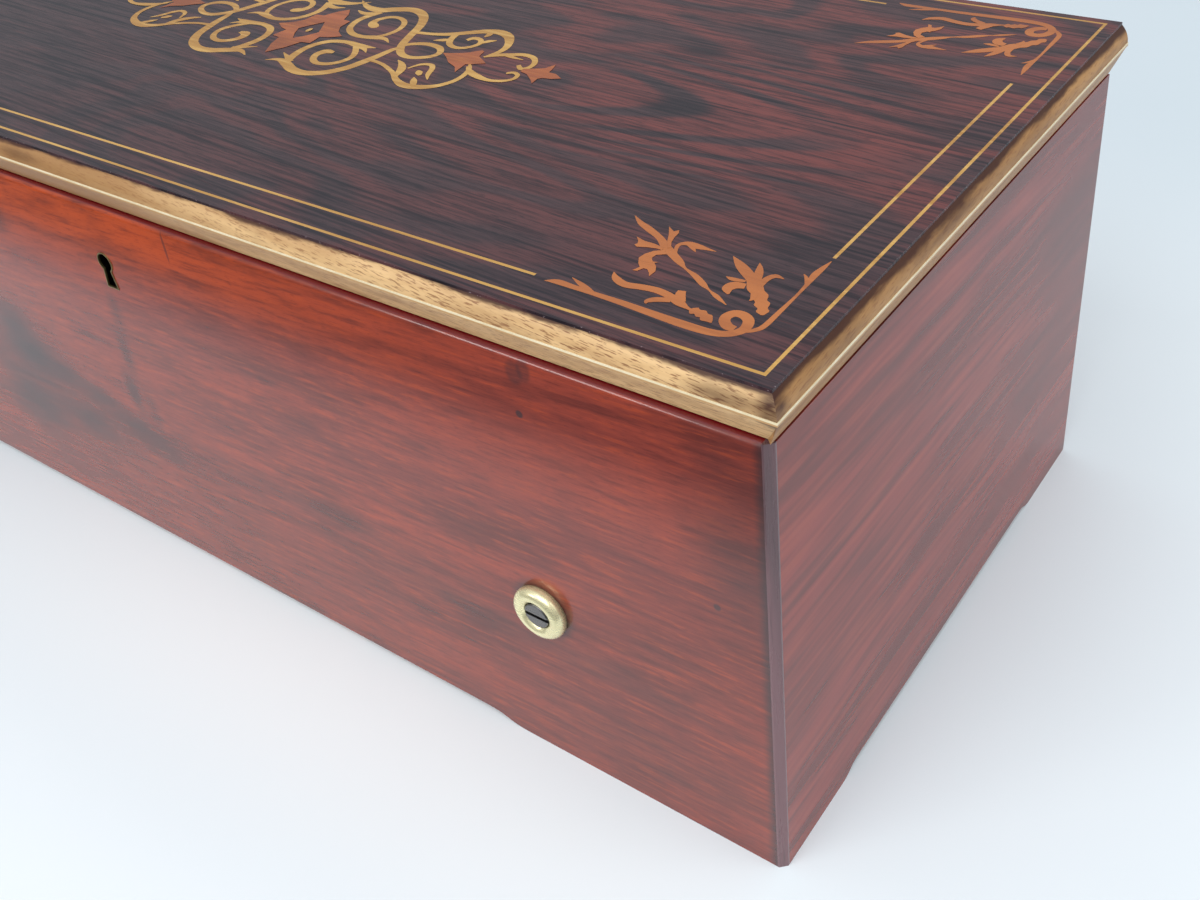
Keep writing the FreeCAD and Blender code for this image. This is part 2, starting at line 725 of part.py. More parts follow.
def hinge_leaf(leaf_z, first):
    plate_back = HINGE_Y - HINGE_R - HINGE_NOTCH
    pieces = [block(span(HINGE_X - HINGE_LENGTH / 2, HINGE_LENGTH), (LEAF_FRONT, plate_back), leaf_z)]
    for reach in knuckles(first):
        pieces.append(block(reach, (LEAF_FRONT, HINGE_Y), leaf_z))
        pieces.append(rod_x(HINGE_R, reach, HINGE_Y, HINGE_Z))
    return fused(pieces)


def save_hinges():
    case_leaf = hinge_leaf((CASE_HEIGHT - HINGE_LEAF, CASE_HEIGHT), 0)
    lid_leaf = hinge_leaf(span(LID_BOTTOM, HINGE_LEAF), 1)
    pin = hinge_axis_rod(HINGE_PIN_R, 0)
    save("hinge_case_leaves", both_sides(case_leaf.cut(pin)))
    save("hinge_lid_leaves", both_sides(lid_leaf.cut(hinge_axis_rod(HINGE_PIN_R + FIT, 0))))
    save("hinge_pins", both_sides(pin))


# Lid
def moulding_face(set_back, place):
    """Half-round nosing above the light line and a sloping band below it."""
    line_top = EDGE_LINE_Z + EDGE_LINE_TALL
    groove = LID_OVERHANG - EDGE_LINE_TALL
    shoulder = LID_OVERHANG - OVOLO_STEP
    middle = ((shoulder + VENEER_OVERHANG) / 2 + OVOLO_BULGE, (line_top + LID_BOARD_TOP) / 2)
    corners = [
        (VENEER_OVERHANG, LID_BOARD_TOP),
        (-MOULD_DEPTH, LID_BOARD_TOP),
        (-MOULD_DEPTH, LID_BOTTOM),
        (-set_back, LID_BOTTOM),
        (shoulder, EDGE_LINE_Z),
        (groove, EDGE_LINE_Z),
        (groove, line_top),
        (shoulder, line_top),
    ]
    edges = [Part.makeLine(place(*a), place(*b)) for a, b in zip(corners, corners[1:])]
    edges.append(Part.Arc(place(*corners[-1]), place(*middle), place(*corners[0])).toShape())
    return Part.Face(Part.Wire(edges))


def front_moulding():
    reach = HALF_L + 2 * MOULD_DEPTH
    face = moulding_face(FRONT_SET_BACK, lambda out, z: V(-reach, -HALF_D - out, z))
    mitre = [
        (-BOARD_X, BOARD_FRONT),
        (-reach, BOARD_FRONT - reach + BOARD_X),
        (reach, BOARD_FRONT - reach + BOARD_X),
        (BOARD_X, BOARD_FRONT),
    ]
    return face.extrude(V(2 * reach, 0, 0)).common(plan(mitre, (0, LID_TOP)))


def right_moulding():
    reach = HALF_L + 2 * MOULD_DEPTH
    front = BOARD_FRONT - reach + BOARD_X
    face = moulding_face(END_SET_BACK, lambda out, z: V(HALF_L + out, front, z))
    mitre = [(BOARD_X, BOARD_FRONT), (reach, front), (reach, HALF_D), (BOARD_X, HALF_D)]
    return face.extrude(V(0, HALF_D - front, 0)).common(plan(mitre, (0, LID_TOP)))


def edge_line():
    z = (EDGE_LINE_Z, EDGE_LINE_Z + EDGE_LINE_TALL)
    outer_x = HALF_L + LID_OVERHANG
    inner_x = outer_x - EDGE_LINE_TALL
    outer = block((-outer_x, outer_x), (-HALF_D - LID_OVERHANG, HALF_D), z)
    return outer.cut(block((-inner_x, inner_x), (-HALF_D - LID_OVERHANG + EDGE_LINE_TALL, HALF_D), z))


def top_lines():
    """The outer line all round, and inner lines that stop short of the corners."""
    z = (LID_TOP - LINE_DEPTH, LID_TOP)
    out_x = HALF_L - LINE_INSET
    out_front = -HALF_D + LINE_INSET
    out_back = HALF_D - LINE_BACK_INSET
    ring = block((-out_x, out_x), (out_front, out_back), z).cut(block(
        (-out_x + LINE_WIDTH, out_x - LINE_WIDTH),
        (out_front + LINE_WIDTH, out_back - LINE_WIDTH),
        z,
    ))
    in_x = out_x - LINE_SPACING
    in_front = out_front + LINE_SPACING
    in_back = out_back - LINE_SPACING
    along = (-HALF_L + LONG_LINE_STOP, HALF_L - LONG_LINE_STOP)
    across = (-HALF_D + SHORT_LINE_STOP[0], HALF_D - SHORT_LINE_STOP[1])
    lines = [
        ring,
        block(along, (in_front, in_front + LINE_WIDTH), z),
        block(along, (in_back - LINE_WIDTH, in_back), z),
    ]
    return lines + both_sides(block((in_x - LINE_WIDTH, in_x), across, z))


def lid_rails():
    outer = block((-BOARD_X, BOARD_X), (BOARD_FRONT, HALF_D), (LID_BOTTOM, LID_BOARD_BOTTOM))
    opening = block(
        (-BOARD_X + RAIL_WIDTH, BOARD_X - RAIL_WIDTH),
        (BOARD_FRONT + RAIL_WIDTH, HALF_D - RAIL_WIDTH),
        (LID_BOTTOM, LID_BOARD_BOTTOM),
    )
    return outer.cut([opening, link_plate_block()] + hinge_room(span(LID_BOTTOM, HINGE_LEAF)))


def save_lid():
    veneer_x = HALF_L + VENEER_OVERHANG
    veneer = block((-veneer_x, veneer_x), (-HALF_D - VENEER_OVERHANG, HALF_D), (LID_BOARD_TOP, LID_TOP))
    lines = top_lines()
    moulding = right_moulding()
    save("lid_board", block((-BOARD_X, BOARD_X), (BOARD_FRONT, HALF_D), (LID_BOARD_BOTTOM, LID_BOARD_TOP)))
    save("lid_rails", lid_rails())
    save("lid_veneer", veneer.cut(lines))
    save("lid_stringing", lines)
    save("lid_edge_stringing", edge_line())
    save("lid_moulding_front", front_moulding())
    save("lid_moulding_right", moulding)
    save("lid_moulding_left", mirrored(moulding))


# Glass lid
def glass_pivot(extra=0.0):
    reach = (GLASS_X - LEDGE, PARTITION_OUT - 1)
    return rod_x(GLASS_PIVOT_R + extra, reach, GLASS_AXIS_Y, GLASS_AXIS_Z)


def pane():
    half = GLASS_X - GLASS_BAR + GLASS_LAP
    front = GLASS_FRONT + GLASS_BAR - GLASS_LAP
    back = GLASS_BACK - GLASS_BAR + GLASS_LAP
    return block((-half, half), (front, back), span(GLASS_AXIS_Z - GLASS_THICK / 2, GLASS_THICK))


def glass_frame():
    z = (GLASS_BOTTOM, GLASS_TOP)
    inner_x = GLASS_X - GLASS_BAR
    frame = block((-GLASS_X, GLASS_X), (GLASS_FRONT, GLASS_BACK), z)
    sight = block((-inner_x, inner_x), (GLASS_FRONT + GLASS_BAR, GLASS_BACK - GLASS_BAR), z)
    return frame.cut([sight, pane()] + both_sides(glass_pivot(FIT)))


def save_glass_lid():
    ledge_y = (GLASS_FRONT, GLASS_AXIS_Y - LEDGE_SHORT)
    ledge = block((PARTITION_X - LEDGE, PARTITION_X), ledge_y, (GLASS_BOTTOM - LEDGE, GLASS_BOTTOM))
    save("glass_frame", glass_frame())
    save("glass_pane", pane())
    save("glass_ledges", both_sides(ledge))
    save("glass_pivots", both_sides(glass_pivot()))


# Bedplate and its screws
def case_screw():
    """A slotted screw on the front, with its head in the cup washer."""
    head = slotted_head(HEAD_R, HEAD_TALL)
    reach = WASHER_SEAT + WALL + SCREW_DEPTH
    shank = Part.makeCylinder(SCREW_R, reach, V(0, 0, -reach))
    screw = head.fuse(shank).removeSplitter()
    return on_front(screw, WASHER_SEAT)


def cup_washer():
    """A round ring whose crest stands a little above the edge of its bore."""
    bore_r = HEAD_R + HEAD_ROOM
    shoulder_r = SCREW_R + HEAD_ROOM
    crest = V((WASHER_R + bore_r) / 2, 0, WASHER_TALL)
    corners = [
        V(bore_r, 0, WASHER_TALL - WASHER_DIP),
        V(bore_r, 0, WASHER_SEAT),
        V(shoulder_r, 0, WASHER_SEAT),
        V(shoulder_r, 0, 0),
        V(WASHER_R, 0, 0),
    ]
    edges = [Part.makeLine(a, b) for a, b in zip(corners, corners[1:])]
    edges.append(Part.Arc(corners[-1], crest, corners[0]).toShape())
    cup = Part.Face(Part.Wire(edges)).revolve(V(0, 0, 0), V(0, 0, 1), 360)
    return on_front(cup, 0)


def on_front(shape, proud):
    """Turn a shape that stands on the XY plane out of the front at the bedplate screw."""
    shape.rotate(V(0, 0, 0), V(1, 0, 0), 90)
    shape.translate(V(SCREW_X, -HALF_D - proud, BED_MID_Z))
    return shape


def four_places(shape):
    pair = both_sides(shape)
    return pair + [front_to_back(piece) for piece in pair]


def bedplate():
    z = (BED_BOTTOM, BED_TOP)
    plate = block((-BED_HALF, BED_HALF), (-BED_DEPTH, BED_DEPTH), z)
    lug = block((SCREW_X - LUG_HALF, SCREW_X + LUG_HALF), (-INNER_D, -BED_DEPTH), z)
    plate = fused([plate] + four_places(lug))
    hole = rod_y(SCREW_R, (-INNER_D, -INNER_D + SCREW_DEPTH), SCREW_X, BED_MID_Z)
    room = pitch_radius(BARREL_TEETH, DRIVE_MODULE) + WINDOW_ROOM
    window_x = (BARREL_X[0] - WINDOW_ROOM, WHEEL_X[1] + BRIDGE_ROOM)
    window = block(window_x, (BARREL_Y - room, BARREL_Y + room), z)
    return plate.cut(four_places(hole) + [window])


def save_bedplate():
    save("bedplate", bedplate())
    save("case_screws", four_places(case_screw()))
    save("cup_washers", four_places(cup_washer()))


# Comb
def tooth_x(index):
    return (index - (COMB_TEETH - 1) / 2) * COMB_PITCH


def comb_root(x):
    """Where the teeth leave the comb's body, which slants from bass to treble."""
    share = x / (COMB_TEETH * COMB_PITCH) + 0.5
    return COMB_TIP - BASS_TOOTH + share * (BASS_TOOTH - TREBLE_TOOTH)


def comb_screw_places():
    gap = (COMB_TEETH * COMB_PITCH - 2 * COMB_SCREW_INSET) / (COMB_SCREWS - 1)
    middle = (COMB_BACK + COMB_BASE_FRONT) / 2
    return [((index - (COMB_SCREWS - 1) / 2) * gap, middle) for index in range(COMB_SCREWS)]


def comb_screw_holes(z):
    return [rod_z(COMB_SCREW_R, z, x, y) for x, y in comb_screw_places()]


def comb():
    half = COMB_TEETH * COMB_PITCH / 2
    outline = [(half, COMB_BACK), (-half, COMB_BACK)]
    for index in range(COMB_TEETH):
        middle = tooth_x(index)
        left = middle - TOOTH_WIDTH / 2
        right = middle + TOOTH_WIDTH / 2
        outline += [(left, comb_root(left)), (left, COMB_TIP), (right, COMB_TIP), (right, comb_root(right))]
    teeth = plan(outline, (COMB_Z, COMB_Z + TOOTH_THICK))
    body = [(half, COMB_BACK), (-half, COMB_BACK), (-half, comb_root(-half)), (half, comb_root(half))]
    whole = teeth.fuse(plan(body, (COMB_Z, COMB_Z + COMB_THICK))).removeSplitter()
    return whole.cut(comb_screw_holes((COMB_Z, COMB_Z + COMB_THICK)))


def comb_base():
    half = COMB_TEETH * COMB_PITCH / 2 + COMB_EDGE_ROOM
    post = block((-half, half), (COMB_BACK, COMB_BASE_FRONT), (BED_TOP, COMB_Z))
    foot = block((-half, half), (COMB_BACK, COMB_BASE_FRONT + COMB_FOOT), (BED_TOP, BED_TOP + COMB_FOOT))
    return fused([post, foot]).cut(comb_screw_holes((COMB_Z - COMB_SCREW_DEPTH, COMB_Z)))


def comb_screw():
    top = COMB_Z + COMB_THICK
    head = slotted_head(COMB_HEAD_R, COMB_HEAD_TALL)
    shank = Part.makeCylinder(COMB_SCREW_R, COMB_THICK + COMB_SCREW_DEPTH)
    shank.translate(V(0, 0, -COMB_THICK - COMB_SCREW_DEPTH))
    screw = head.fuse(shank).removeSplitter()
    screw.translate(V(0, 0, top))
    return screw


def save_comb():
    screws = []
    for x, y in comb_screw_places():
        screw = comb_screw()
        screw.translate(V(x, y, 0))
        screws.append(screw)
    save("comb", comb())
    save("comb_base", comb_base())
    save("comb_screws", screws)


# Cylinder
def change_snail():
    """A stepped cam with one step for each tune."""
    points = []
    for tune in range(SNAIL_TUNES):
        radius = SNAIL_R - SNAIL_STEP * tune
        for part in range(7):
            angle = 2 * math.pi * (tune + part / 6) / SNAIL_TUNES
            points.append(stepped(CYL_Y, CYL_Z, radius, angle))
    return side(points, SNAIL_X).cut(rod_x(CYL_ARBOR_R, SNAIL_X, CYL_Y, CYL_Z))


def save_cylinder():
    centre = (CYL_Y, CYL_Z)
    reach = (-CYL_HALF, CYL_HALF)
    pinion = gear(DRIVE_PINION_TEETH, DRIVE_MODULE, DRIVE_PINION_X, centre, CYL_ARBOR_R, BARREL_ANGLE)
    wheel = gear(CYL_WHEEL_TEETH, CYL_MODULE, CYL_WHEEL_X, centre, CYL_ARBOR_R, FIRST_ANGLE)
    save("cylinder", rod_x(CYL_R, reach, *centre).cut(rod_x(CYL_ARBOR_R, reach, *centre)))
    save("cylinder_arbor", rod_x(CYL_ARBOR_R, CYL_ARBOR, *centre))
    save("cylinder_pinion", pinion)
    save("cylinder_wheel", wheel)
    save("change_snail", change_snail())


# Spring barrel
def mainspring():
    """A coil of half circles, each wider than the last, hooked to the drum at its outer end."""
    reach = (BARREL_X[0] + 2 * BARREL_SKIN, BARREL_X[1] - BARREL_SKIN)
    start = BARREL_ARBOR_R + SPRING_START

    def coil(radius):
        arcs = []
        left = BARREL_Y - radius
        sign = 1
        for half_turn in range(2 * SPRING_TURNS):
            width = 2 * radius + half_turn * SPRING_PITCH
            right = left + sign * width
            middle = V(reach[0], (left + right) / 2, BARREL_Z + sign * width / 2)
            arcs.append(Part.Arc(V(reach[0], left, BARREL_Z), middle, V(reach[0], right, BARREL_Z)).toShape())
            left = right
            sign = -sign
        return arcs

    inner = coil(start)
    outer = coil(start + SPRING_THICK)
    ends = [
        Part.makeLine(inner[0].Vertexes[0].Point, outer[0].Vertexes[0].Point),
        Part.makeLine(inner[-1].Vertexes[-1].Point, outer[-1].Vertexes[-1].Point),
    ]
    wire = Part.Wire(Part.__sortEdges__(inner + outer + ends))
    strip = Part.Face(wire).extrude(V(reach[1] - reach[0], 0, 0))
    end_y = inner[-1].Vertexes[-1].Point.y
    hook = block(reach, (BARREL_Y - BARREL_R, end_y), (BARREL_Z - SPRING_THICK, BARREL_Z))
    return fused([strip, hook.common(rod_x(BARREL_R - BARREL_SKIN, reach, BARREL_Y, BARREL_Z))])


def barrel_drum():
    centre = (BARREL_Y, BARREL_Z)
    room = (BARREL_X[0] + BARREL_SKIN, BARREL_X[1])
    drum = rod_x(BARREL_R, BARREL_X, *centre).cut(rod_x(BARREL_R - BARREL_SKIN, room, *centre))
    return drum.cut(rod_x(BARREL_ARBOR_R + FIT, BARREL_X, *centre))


def ratchet_wheel():
    points = []
    for tooth in range(RATCHET_TEETH):
        angle = 2 * math.pi * tooth / RATCHET_TEETH
        points.append(stepped(BARREL_Y, BARREL_Z, RATCHET_R, angle))
        points.append(stepped(BARREL_Y, BARREL_Z, RATCHET_R - RATCHET_DEPTH, angle))
    points.reverse()
    return side(points, RATCHET_X).cut(rod_x(BARREL_ARBOR_R, RATCHET_X, BARREL_Y, BARREL_Z))


def ratchet_click():
    """The pawl above the ratchet wheel, on a stud in the partition."""
    stud = (BARREL_Y + CLICK_STUD[0], BARREL_Z + CLICK_STUD[1])
    tip = (BARREL_Y + CLICK_TIP[0], BARREL_Z + CLICK_TIP[1])
    wheel = rod_x(RATCHET_R + CLICK_ROOM, RATCHET_X, BARREL_Y, BARREL_Z)
    pawl = bar_between(stud, tip, CLICK_HALF, RATCHET_X).cut(wheel)
    boss = rod_x(CLICK_BOSS_R, (RATCHET_X[0], -PARTITION_OUT), *stud)
    return fused([pawl, boss])


def winding_lever():
    centre = (BARREL_Y, BARREL_Z)
    hub = rod_x(WIND_HUB_R, WIND_HUB_X, *centre)
    arm = bar_between(centre, stepped(*centre, WIND_LENGTH, WIND_ANGLE), WIND_ARM_HALF, WIND_ARM_X)
    return fused([hub, arm]).cut(rod_x(BARREL_ARBOR_R + FIT, WIND_HUB_X, *centre))


def winding_handle():
    """A turned grip that stands out from the end of the lever."""
    y, z = stepped(BARREL_Y, BARREL_Z, WIND_LENGTH, WIND_ANGLE)
    right = WIND_ARM_X[0]
    left = right - HANDLE_LENGTH
    flare = V(right, HANDLE_NECK + HANDLE_FLARE, 0)
    corners = [V(right, 0, 0), flare, V(right - HANDLE_NECK, HANDLE_NECK, 0)]
    edges = [Part.makeLine(a, b) for a, b in zip(corners, corners[1:])]
    belly = V(left + HANDLE_LENGTH * 0.35, HANDLE_R, 0)
    edges.append(Part.Arc(corners[-1], belly, V(left, HANDLE_NECK, 0)).toShape())
    edges.append(Part.makeLine(V(left, HANDLE_NECK, 0), V(left, 0, 0)))
    edges.append(Part.makeLine(V(left, 0, 0), corners[0]))
    grip = Part.Face(Part.Wire(edges)).revolve(V(0, 0, 0), V(1, 0, 0), 360)
    grip.translate(V(0, y, z))
    return grip


def save_barrel():
    centre = (BARREL_Y, BARREL_Z)
    phase = meshed(BARREL_ANGLE, BARREL_TEETH)
    save("barrel_drum", barrel_drum())
    save("barrel_wheel", gear(BARREL_TEETH, DRIVE_MODULE, WHEEL_X, centre, BARREL_ARBOR_R + FIT, phase))
    save("mainspring", mainspring())
    save("barrel_arbor", rod_x(BARREL_ARBOR_R, BARREL_ARBOR, *centre))
    save("ratchet_wheel", ratchet_wheel())
    save("ratchet_click", ratchet_click())
    save("winding_lever", winding_lever())
    save("winding_handle", winding_handle())


# Bridges
def boss_top(y, z, half):
    """The bevelled top of a plate around an arbor, from its back to its front."""
    flat = half - BOSS_BEVEL
    return [(y + half, z + flat), (y + flat, z + half), (y - flat, z + half), (y - half, z + flat)]


def left_bridge():
    outline = [(CYL_Y - CYL_BOSS, BED_TOP), (BARREL_Y + BARREL_BOSS, BED_TOP)]
    outline += boss_top(BARREL_Y, BARREL_Z, BARREL_BOSS)
    outline += boss_top(CYL_Y, CYL_Z, CYL_BOSS)
    return side(outline, LEFT_BRIDGE_X).cut([
        rod_x(CYL_ARBOR_R + FIT, LEFT_BRIDGE_X, CYL_Y, CYL_Z),
        rod_x(BARREL_ARBOR_R, LEFT_BRIDGE_X, BARREL_Y, BARREL_Z),
    ])


def right_bridge():
    """One long cock for the cylinder, both governor arbors and the change lever."""
    shoulder = BED_TOP + BRIDGE_SHOULDER
    outline = [(CHANGE_Y - LEVER_BRACKET_R, BED_TOP), (SECOND_Y + GOV_BOSS, BED_TOP)]
    outline += boss_top(SECOND_Y, SECOND_Z, GOV_BOSS)
    outline.append((FIRST_Y - CYL_BOSS, FIRST_Z + BOSS_BEVEL))
    outline += boss_top(CYL_Y, CYL_Z, CYL_BOSS)
    outline += [(CYL_Y - CYL_BOSS, shoulder), (CHANGE_Y + LEVER_BRACKET_R, shoulder)]
    outline += boss_top(CHANGE_Y, LEVER_Z, LEVER_BRACKET_R)
    return side(outline, RIGHT_BRIDGE_X).cut([
        rod_x(CYL_ARBOR_R + FIT, RIGHT_BRIDGE_X, CYL_Y, CYL_Z),
        rod_x(FIRST_ARBOR_R + FIT, RIGHT_BRIDGE_X, FIRST_Y, FIRST_Z),
        rod_x(SECOND_ARBOR_R + FIT, RIGHT_BRIDGE_X, SECOND_Y, SECOND_Z),
        rod_x(LEVER_SHAFT_R + FIT, RIGHT_BRIDGE_X, CHANGE_Y, LEVER_Z),
    ])


def barrel_bridge():
    width = (BARREL_Y - BARREL_BRIDGE_R, BARREL_Y + BARREL_BRIDGE_R)
    foot = block(BARREL_BRIDGE_X, width, (BED_TOP, BARREL_Z))
    cap = rod_x(BARREL_BRIDGE_R, BARREL_BRIDGE_X, BARREL_Y, BARREL_Z)
    below = block(BARREL_BRIDGE_X, width, (BED_BOTTOM, BED_TOP))
    arbor = rod_x(BARREL_ARBOR_R, BARREL_BRIDGE_X, BARREL_Y, BARREL_Z)
    return fused([foot, cap.cut(below)]).cut(arbor)


def governor_plate():
    outline = [(FIRST_Y - CYL_BOSS, BED_TOP), (SECOND_Y + GOV_BOSS, BED_TOP)]
    outline += boss_top(SECOND_Y, SECOND_Z, GOV_BOSS)
    outline.append((FIRST_Y - CYL_BOSS, FIRST_Z + BOSS_BEVEL))
    return side(outline, GOV_PLATE_X).cut([
        rod_x(FIRST_ARBOR_R + FIT, GOV_PLATE_X, FIRST_Y, FIRST_Z),
        rod_x(SECOND_ARBOR_R + FIT, GOV_PLATE_X, SECOND_Y, SECOND_Z),
    ])


def lever_bracket():
    radius = LEVER_BRACKET_R
    foot_y = (CHANGE_Y - radius, START_Y + radius)
    pieces = [block(LEVER_BRACKET_X, foot_y, span(BED_TOP, LEVER_BRACKET_FOOT))]
    holes = []
    for y in (CHANGE_Y, START_Y):
        pieces.append(block(LEVER_BRACKET_X, (y - radius, y + radius), (BED_TOP, LEVER_Z)))
        pieces.append(rod_x(radius, LEVER_BRACKET_X, y, LEVER_Z))
        holes.append(rod_x(LEVER_SHAFT_R + FIT, LEVER_BRACKET_X, y, LEVER_Z))
    return fused(pieces).cut(holes)


def worm_bracket():
    """A C-shaped cock that holds the upright worm at both ends."""
    width = (WORM_X - WORM_ARM_HALF, WORM_X + WORM_ARM_HALF)
    reach = (WORM_Y - WORM_ARM_HALF, WORM_POST_Y[1])
    pieces = [
        block(width, WORM_POST_Y, (BED_TOP, UPPER_ARM_Z[1])),
        block(width, reach, LOWER_ARM_Z),
        block(width, reach, UPPER_ARM_Z),
    ]
    hole = rod_z(WORM_ARBOR_R + FIT, (LOWER_ARM_Z[0] + 1, UPPER_ARM_Z[1] - 0.5), WORM_X, WORM_Y)
    return fused(pieces).cut(hole)


def save_bridges():
    save("left_bridge", left_bridge())
    save("right_bridge", right_bridge())
    save("barrel_bridge", barrel_bridge())
    save("governor_plate", governor_plate())
    save("lever_bracket", lever_bracket())
    save("worm_bracket", worm_bracket())


# Governor
def first_arbor():
    centre = (FIRST_Y, FIRST_Z)
    arbor = rod_x(FIRST_ARBOR_R, (CYL_WHEEL_X[0] - 2 * PINION_WIDER, GOV_PLATE_X[1]), *centre)
    phase = meshed(FIRST_ANGLE, FIRST_PINION_TEETH)
    pinion_x = (CYL_WHEEL_X[0] - PINION_WIDER, CYL_WHEEL_X[1] + PINION_WIDER)
    pinion = gear(FIRST_PINION_TEETH, CYL_MODULE, pinion_x, centre, FIRST_ARBOR_R / 2, phase)
    return fused([arbor, pinion])


def second_arbor():
    centre = (SECOND_Y, SECOND_Z)
    arbor = rod_x(SECOND_ARBOR_R, (RIGHT_BRIDGE_X[0], GOV_PLATE_X[1]), *centre)
    phase = meshed(SECOND_ANGLE, SECOND_PINION_TEETH)
    pinion_x = (FIRST_WHEEL_X[0] - PINION_WIDER, FIRST_WHEEL_X[1] + PINION_WIDER)
    pinion = gear(SECOND_PINION_TEETH, FIRST_MODULE, pinion_x, centre, SECOND_ARBOR_R / 2, phase)
    return fused([arbor, pinion])


def worm():
    """Three right-hand threads on an upright arbor."""
    bottom = SECOND_Z - WORM_TALL / 2
    thread_bottom = bottom + WORM_RUN_IN
    thread_tall = WORM_TALL - WORM_RUN_IN - WORM_RUN_OUT
    core = rod_z(WORM_CORE_R, (bottom, bottom + WORM_TALL), 0, 0)
    arbor = rod_z(WORM_ARBOR_R, (LOWER_ARM_Z[0] + FLY_ROOM, UPPER_ARM_Z[1] - 1), 0, 0)
    inner = WORM_CORE_R - WORM_SINK
    helix = Part.makeHelix(WORM_LEAD, thread_tall, WORM_CORE_R)
    profile = Part.makePolygon([
        V(inner, 0, -WORM_ROOT_HALF),
        V(WORM_TOP_R, 0, -WORM_CREST_HALF),
        V(WORM_TOP_R, 0, WORM_CREST_HALF),
        V(inner, 0, WORM_ROOT_HALF),
        V(inner, 0, -WORM_ROOT_HALF),
    ])
    thread = Part.Wire(helix).makePipeShell([profile], True, True)
    thread.translate(V(0, 0, thread_bottom))
    turn = -90 - 360 * (SECOND_Z - thread_bottom) / WORM_LEAD
    pieces = [core, arbor]
    for start in range(WORM_STARTS):
        copy = thread.copy()
        copy.rotate(V(0, 0, 0), V(0, 0, 1), turn + 360 * start / WORM_STARTS)
        pieces.append(copy)
    whole = pieces[0].multiFuse(pieces[1:])
    whole.translate(V(WORM_X, WORM_Y, 0))
    return whole


def fly():
    """Two vanes on a hub."""
    vane = block((-FLY_R, FLY_R), (-FLY_THICK / 2, FLY_THICK / 2), FLY_Z)
    hub_z = (FLY_Z[0] - FLY_HUB_MORE, FLY_Z[1] + FLY_HUB_MORE)
    hub = rod_z(FLY_HUB_R, hub_z, 0, 0)
    whole = fused([vane, hub]).cut(rod_z(WORM_ARBOR_R, hub_z, 0, 0))
    whole.translate(V(WORM_X, WORM_Y, 0))
    return whole


def save_governor():
    first = (FIRST_Y, FIRST_Z)
    second = (SECOND_Y, SECOND_Z)
    worm_wheel_x = span(WORM_X - WORM_WHEEL_THICK / 2, WORM_WHEEL_THICK)
    worm_phase = math.pi / WORM_WHEEL_TEETH
    wheel = gear(FIRST_WHEEL_TEETH, FIRST_MODULE, FIRST_WHEEL_X, first, FIRST_ARBOR_R, SECOND_ANGLE)
    worm_wheel = gear(WORM_WHEEL_TEETH, WORM_MODULE, worm_wheel_x, second, SECOND_ARBOR_R, worm_phase)
    save("first_arbor", first_arbor())
    save("first_wheel", wheel)
    save("second_arbor", second_arbor())
    save("worm_wheel", worm_wheel)
    save("worm", worm())
    save("fly", fly())


# Start and change levers
def hand_lever(y, shaft_x, lean):
    """A shaft along X with an upright grip in the right compartment."""
    shaft = rod_x(LEVER_SHAFT_R, (shaft_x, LEVER_END), y, LEVER_Z)
    top = stepped(y, LEVER_Z, LEVER_TALL, math.pi / 2 - lean)
    arm = bar_between((y, LEVER_Z), top, LEVER_HALF, LEVER_HANDLE_X)
    knob = Part.makeSphere(LEVER_KNOB_R, V((LEVER_HANDLE_X[0] + LEVER_HANDLE_X[1]) / 2, *top))
    boss = rod_x(LEVER_BOSS_R, LEVER_HANDLE_X, y, LEVER_Z)
    return [shaft, arm, knob, boss]


def start_lever():
    tip = (START_Y + START_REACH, LEVER_Z)
    arm = bar_between((START_Y, LEVER_Z), tip, START_HALF, START_X)
    brake = rod_x(BRAKE_R, (BRAKE_END, START_X[1]), *tip)
    return fused(hand_lever(START_Y, START_X[0], LEVER_LEAN) + [arm, brake])


def change_lever():
    tip = stepped(CHANGE_Y, LEVER_Z, CHANGE_REACH, CHANGE_ANGLE)
    arm = bar_between((CHANGE_Y, LEVER_Z), tip, CHANGE_HALF, CHANGE_X)
    boss = rod_x(CHANGE_BOSS_R, CHANGE_X, CHANGE_Y, LEVER_Z)
    return fused(hand_lever(CHANGE_Y, RIGHT_BRIDGE_X[0], -LEVER_LEAN) + [arm, boss])


def save_levers():
    save("start_lever", start_lever())
    save("change_lever", change_lever())


os.makedirs("parts", exist_ok=True)
save_case()
save_lock()
save_hinges()
save_lid()
save_glass_lid()
save_bedplate()
save_comb()
save_cylinder()
save_barrel()
save_bridges()
save_governor()
save_levers()
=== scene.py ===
"""Looks of the cylinder music box: polished woods, marquetry, brass and steel, with soft light."""

import math
import random

import bmesh
import bpy
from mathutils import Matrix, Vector


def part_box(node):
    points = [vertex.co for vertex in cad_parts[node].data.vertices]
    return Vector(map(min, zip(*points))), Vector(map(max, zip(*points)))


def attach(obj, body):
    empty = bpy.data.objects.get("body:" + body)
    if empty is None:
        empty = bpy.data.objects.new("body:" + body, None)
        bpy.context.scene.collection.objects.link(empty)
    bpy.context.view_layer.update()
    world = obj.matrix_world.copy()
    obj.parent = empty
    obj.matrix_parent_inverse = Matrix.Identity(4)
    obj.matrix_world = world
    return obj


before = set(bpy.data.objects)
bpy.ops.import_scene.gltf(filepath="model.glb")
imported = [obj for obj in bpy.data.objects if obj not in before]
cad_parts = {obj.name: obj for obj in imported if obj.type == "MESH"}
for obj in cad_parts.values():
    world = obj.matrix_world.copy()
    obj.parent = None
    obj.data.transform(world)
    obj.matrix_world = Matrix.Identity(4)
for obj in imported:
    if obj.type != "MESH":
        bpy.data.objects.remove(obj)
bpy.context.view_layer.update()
MM = 0.001

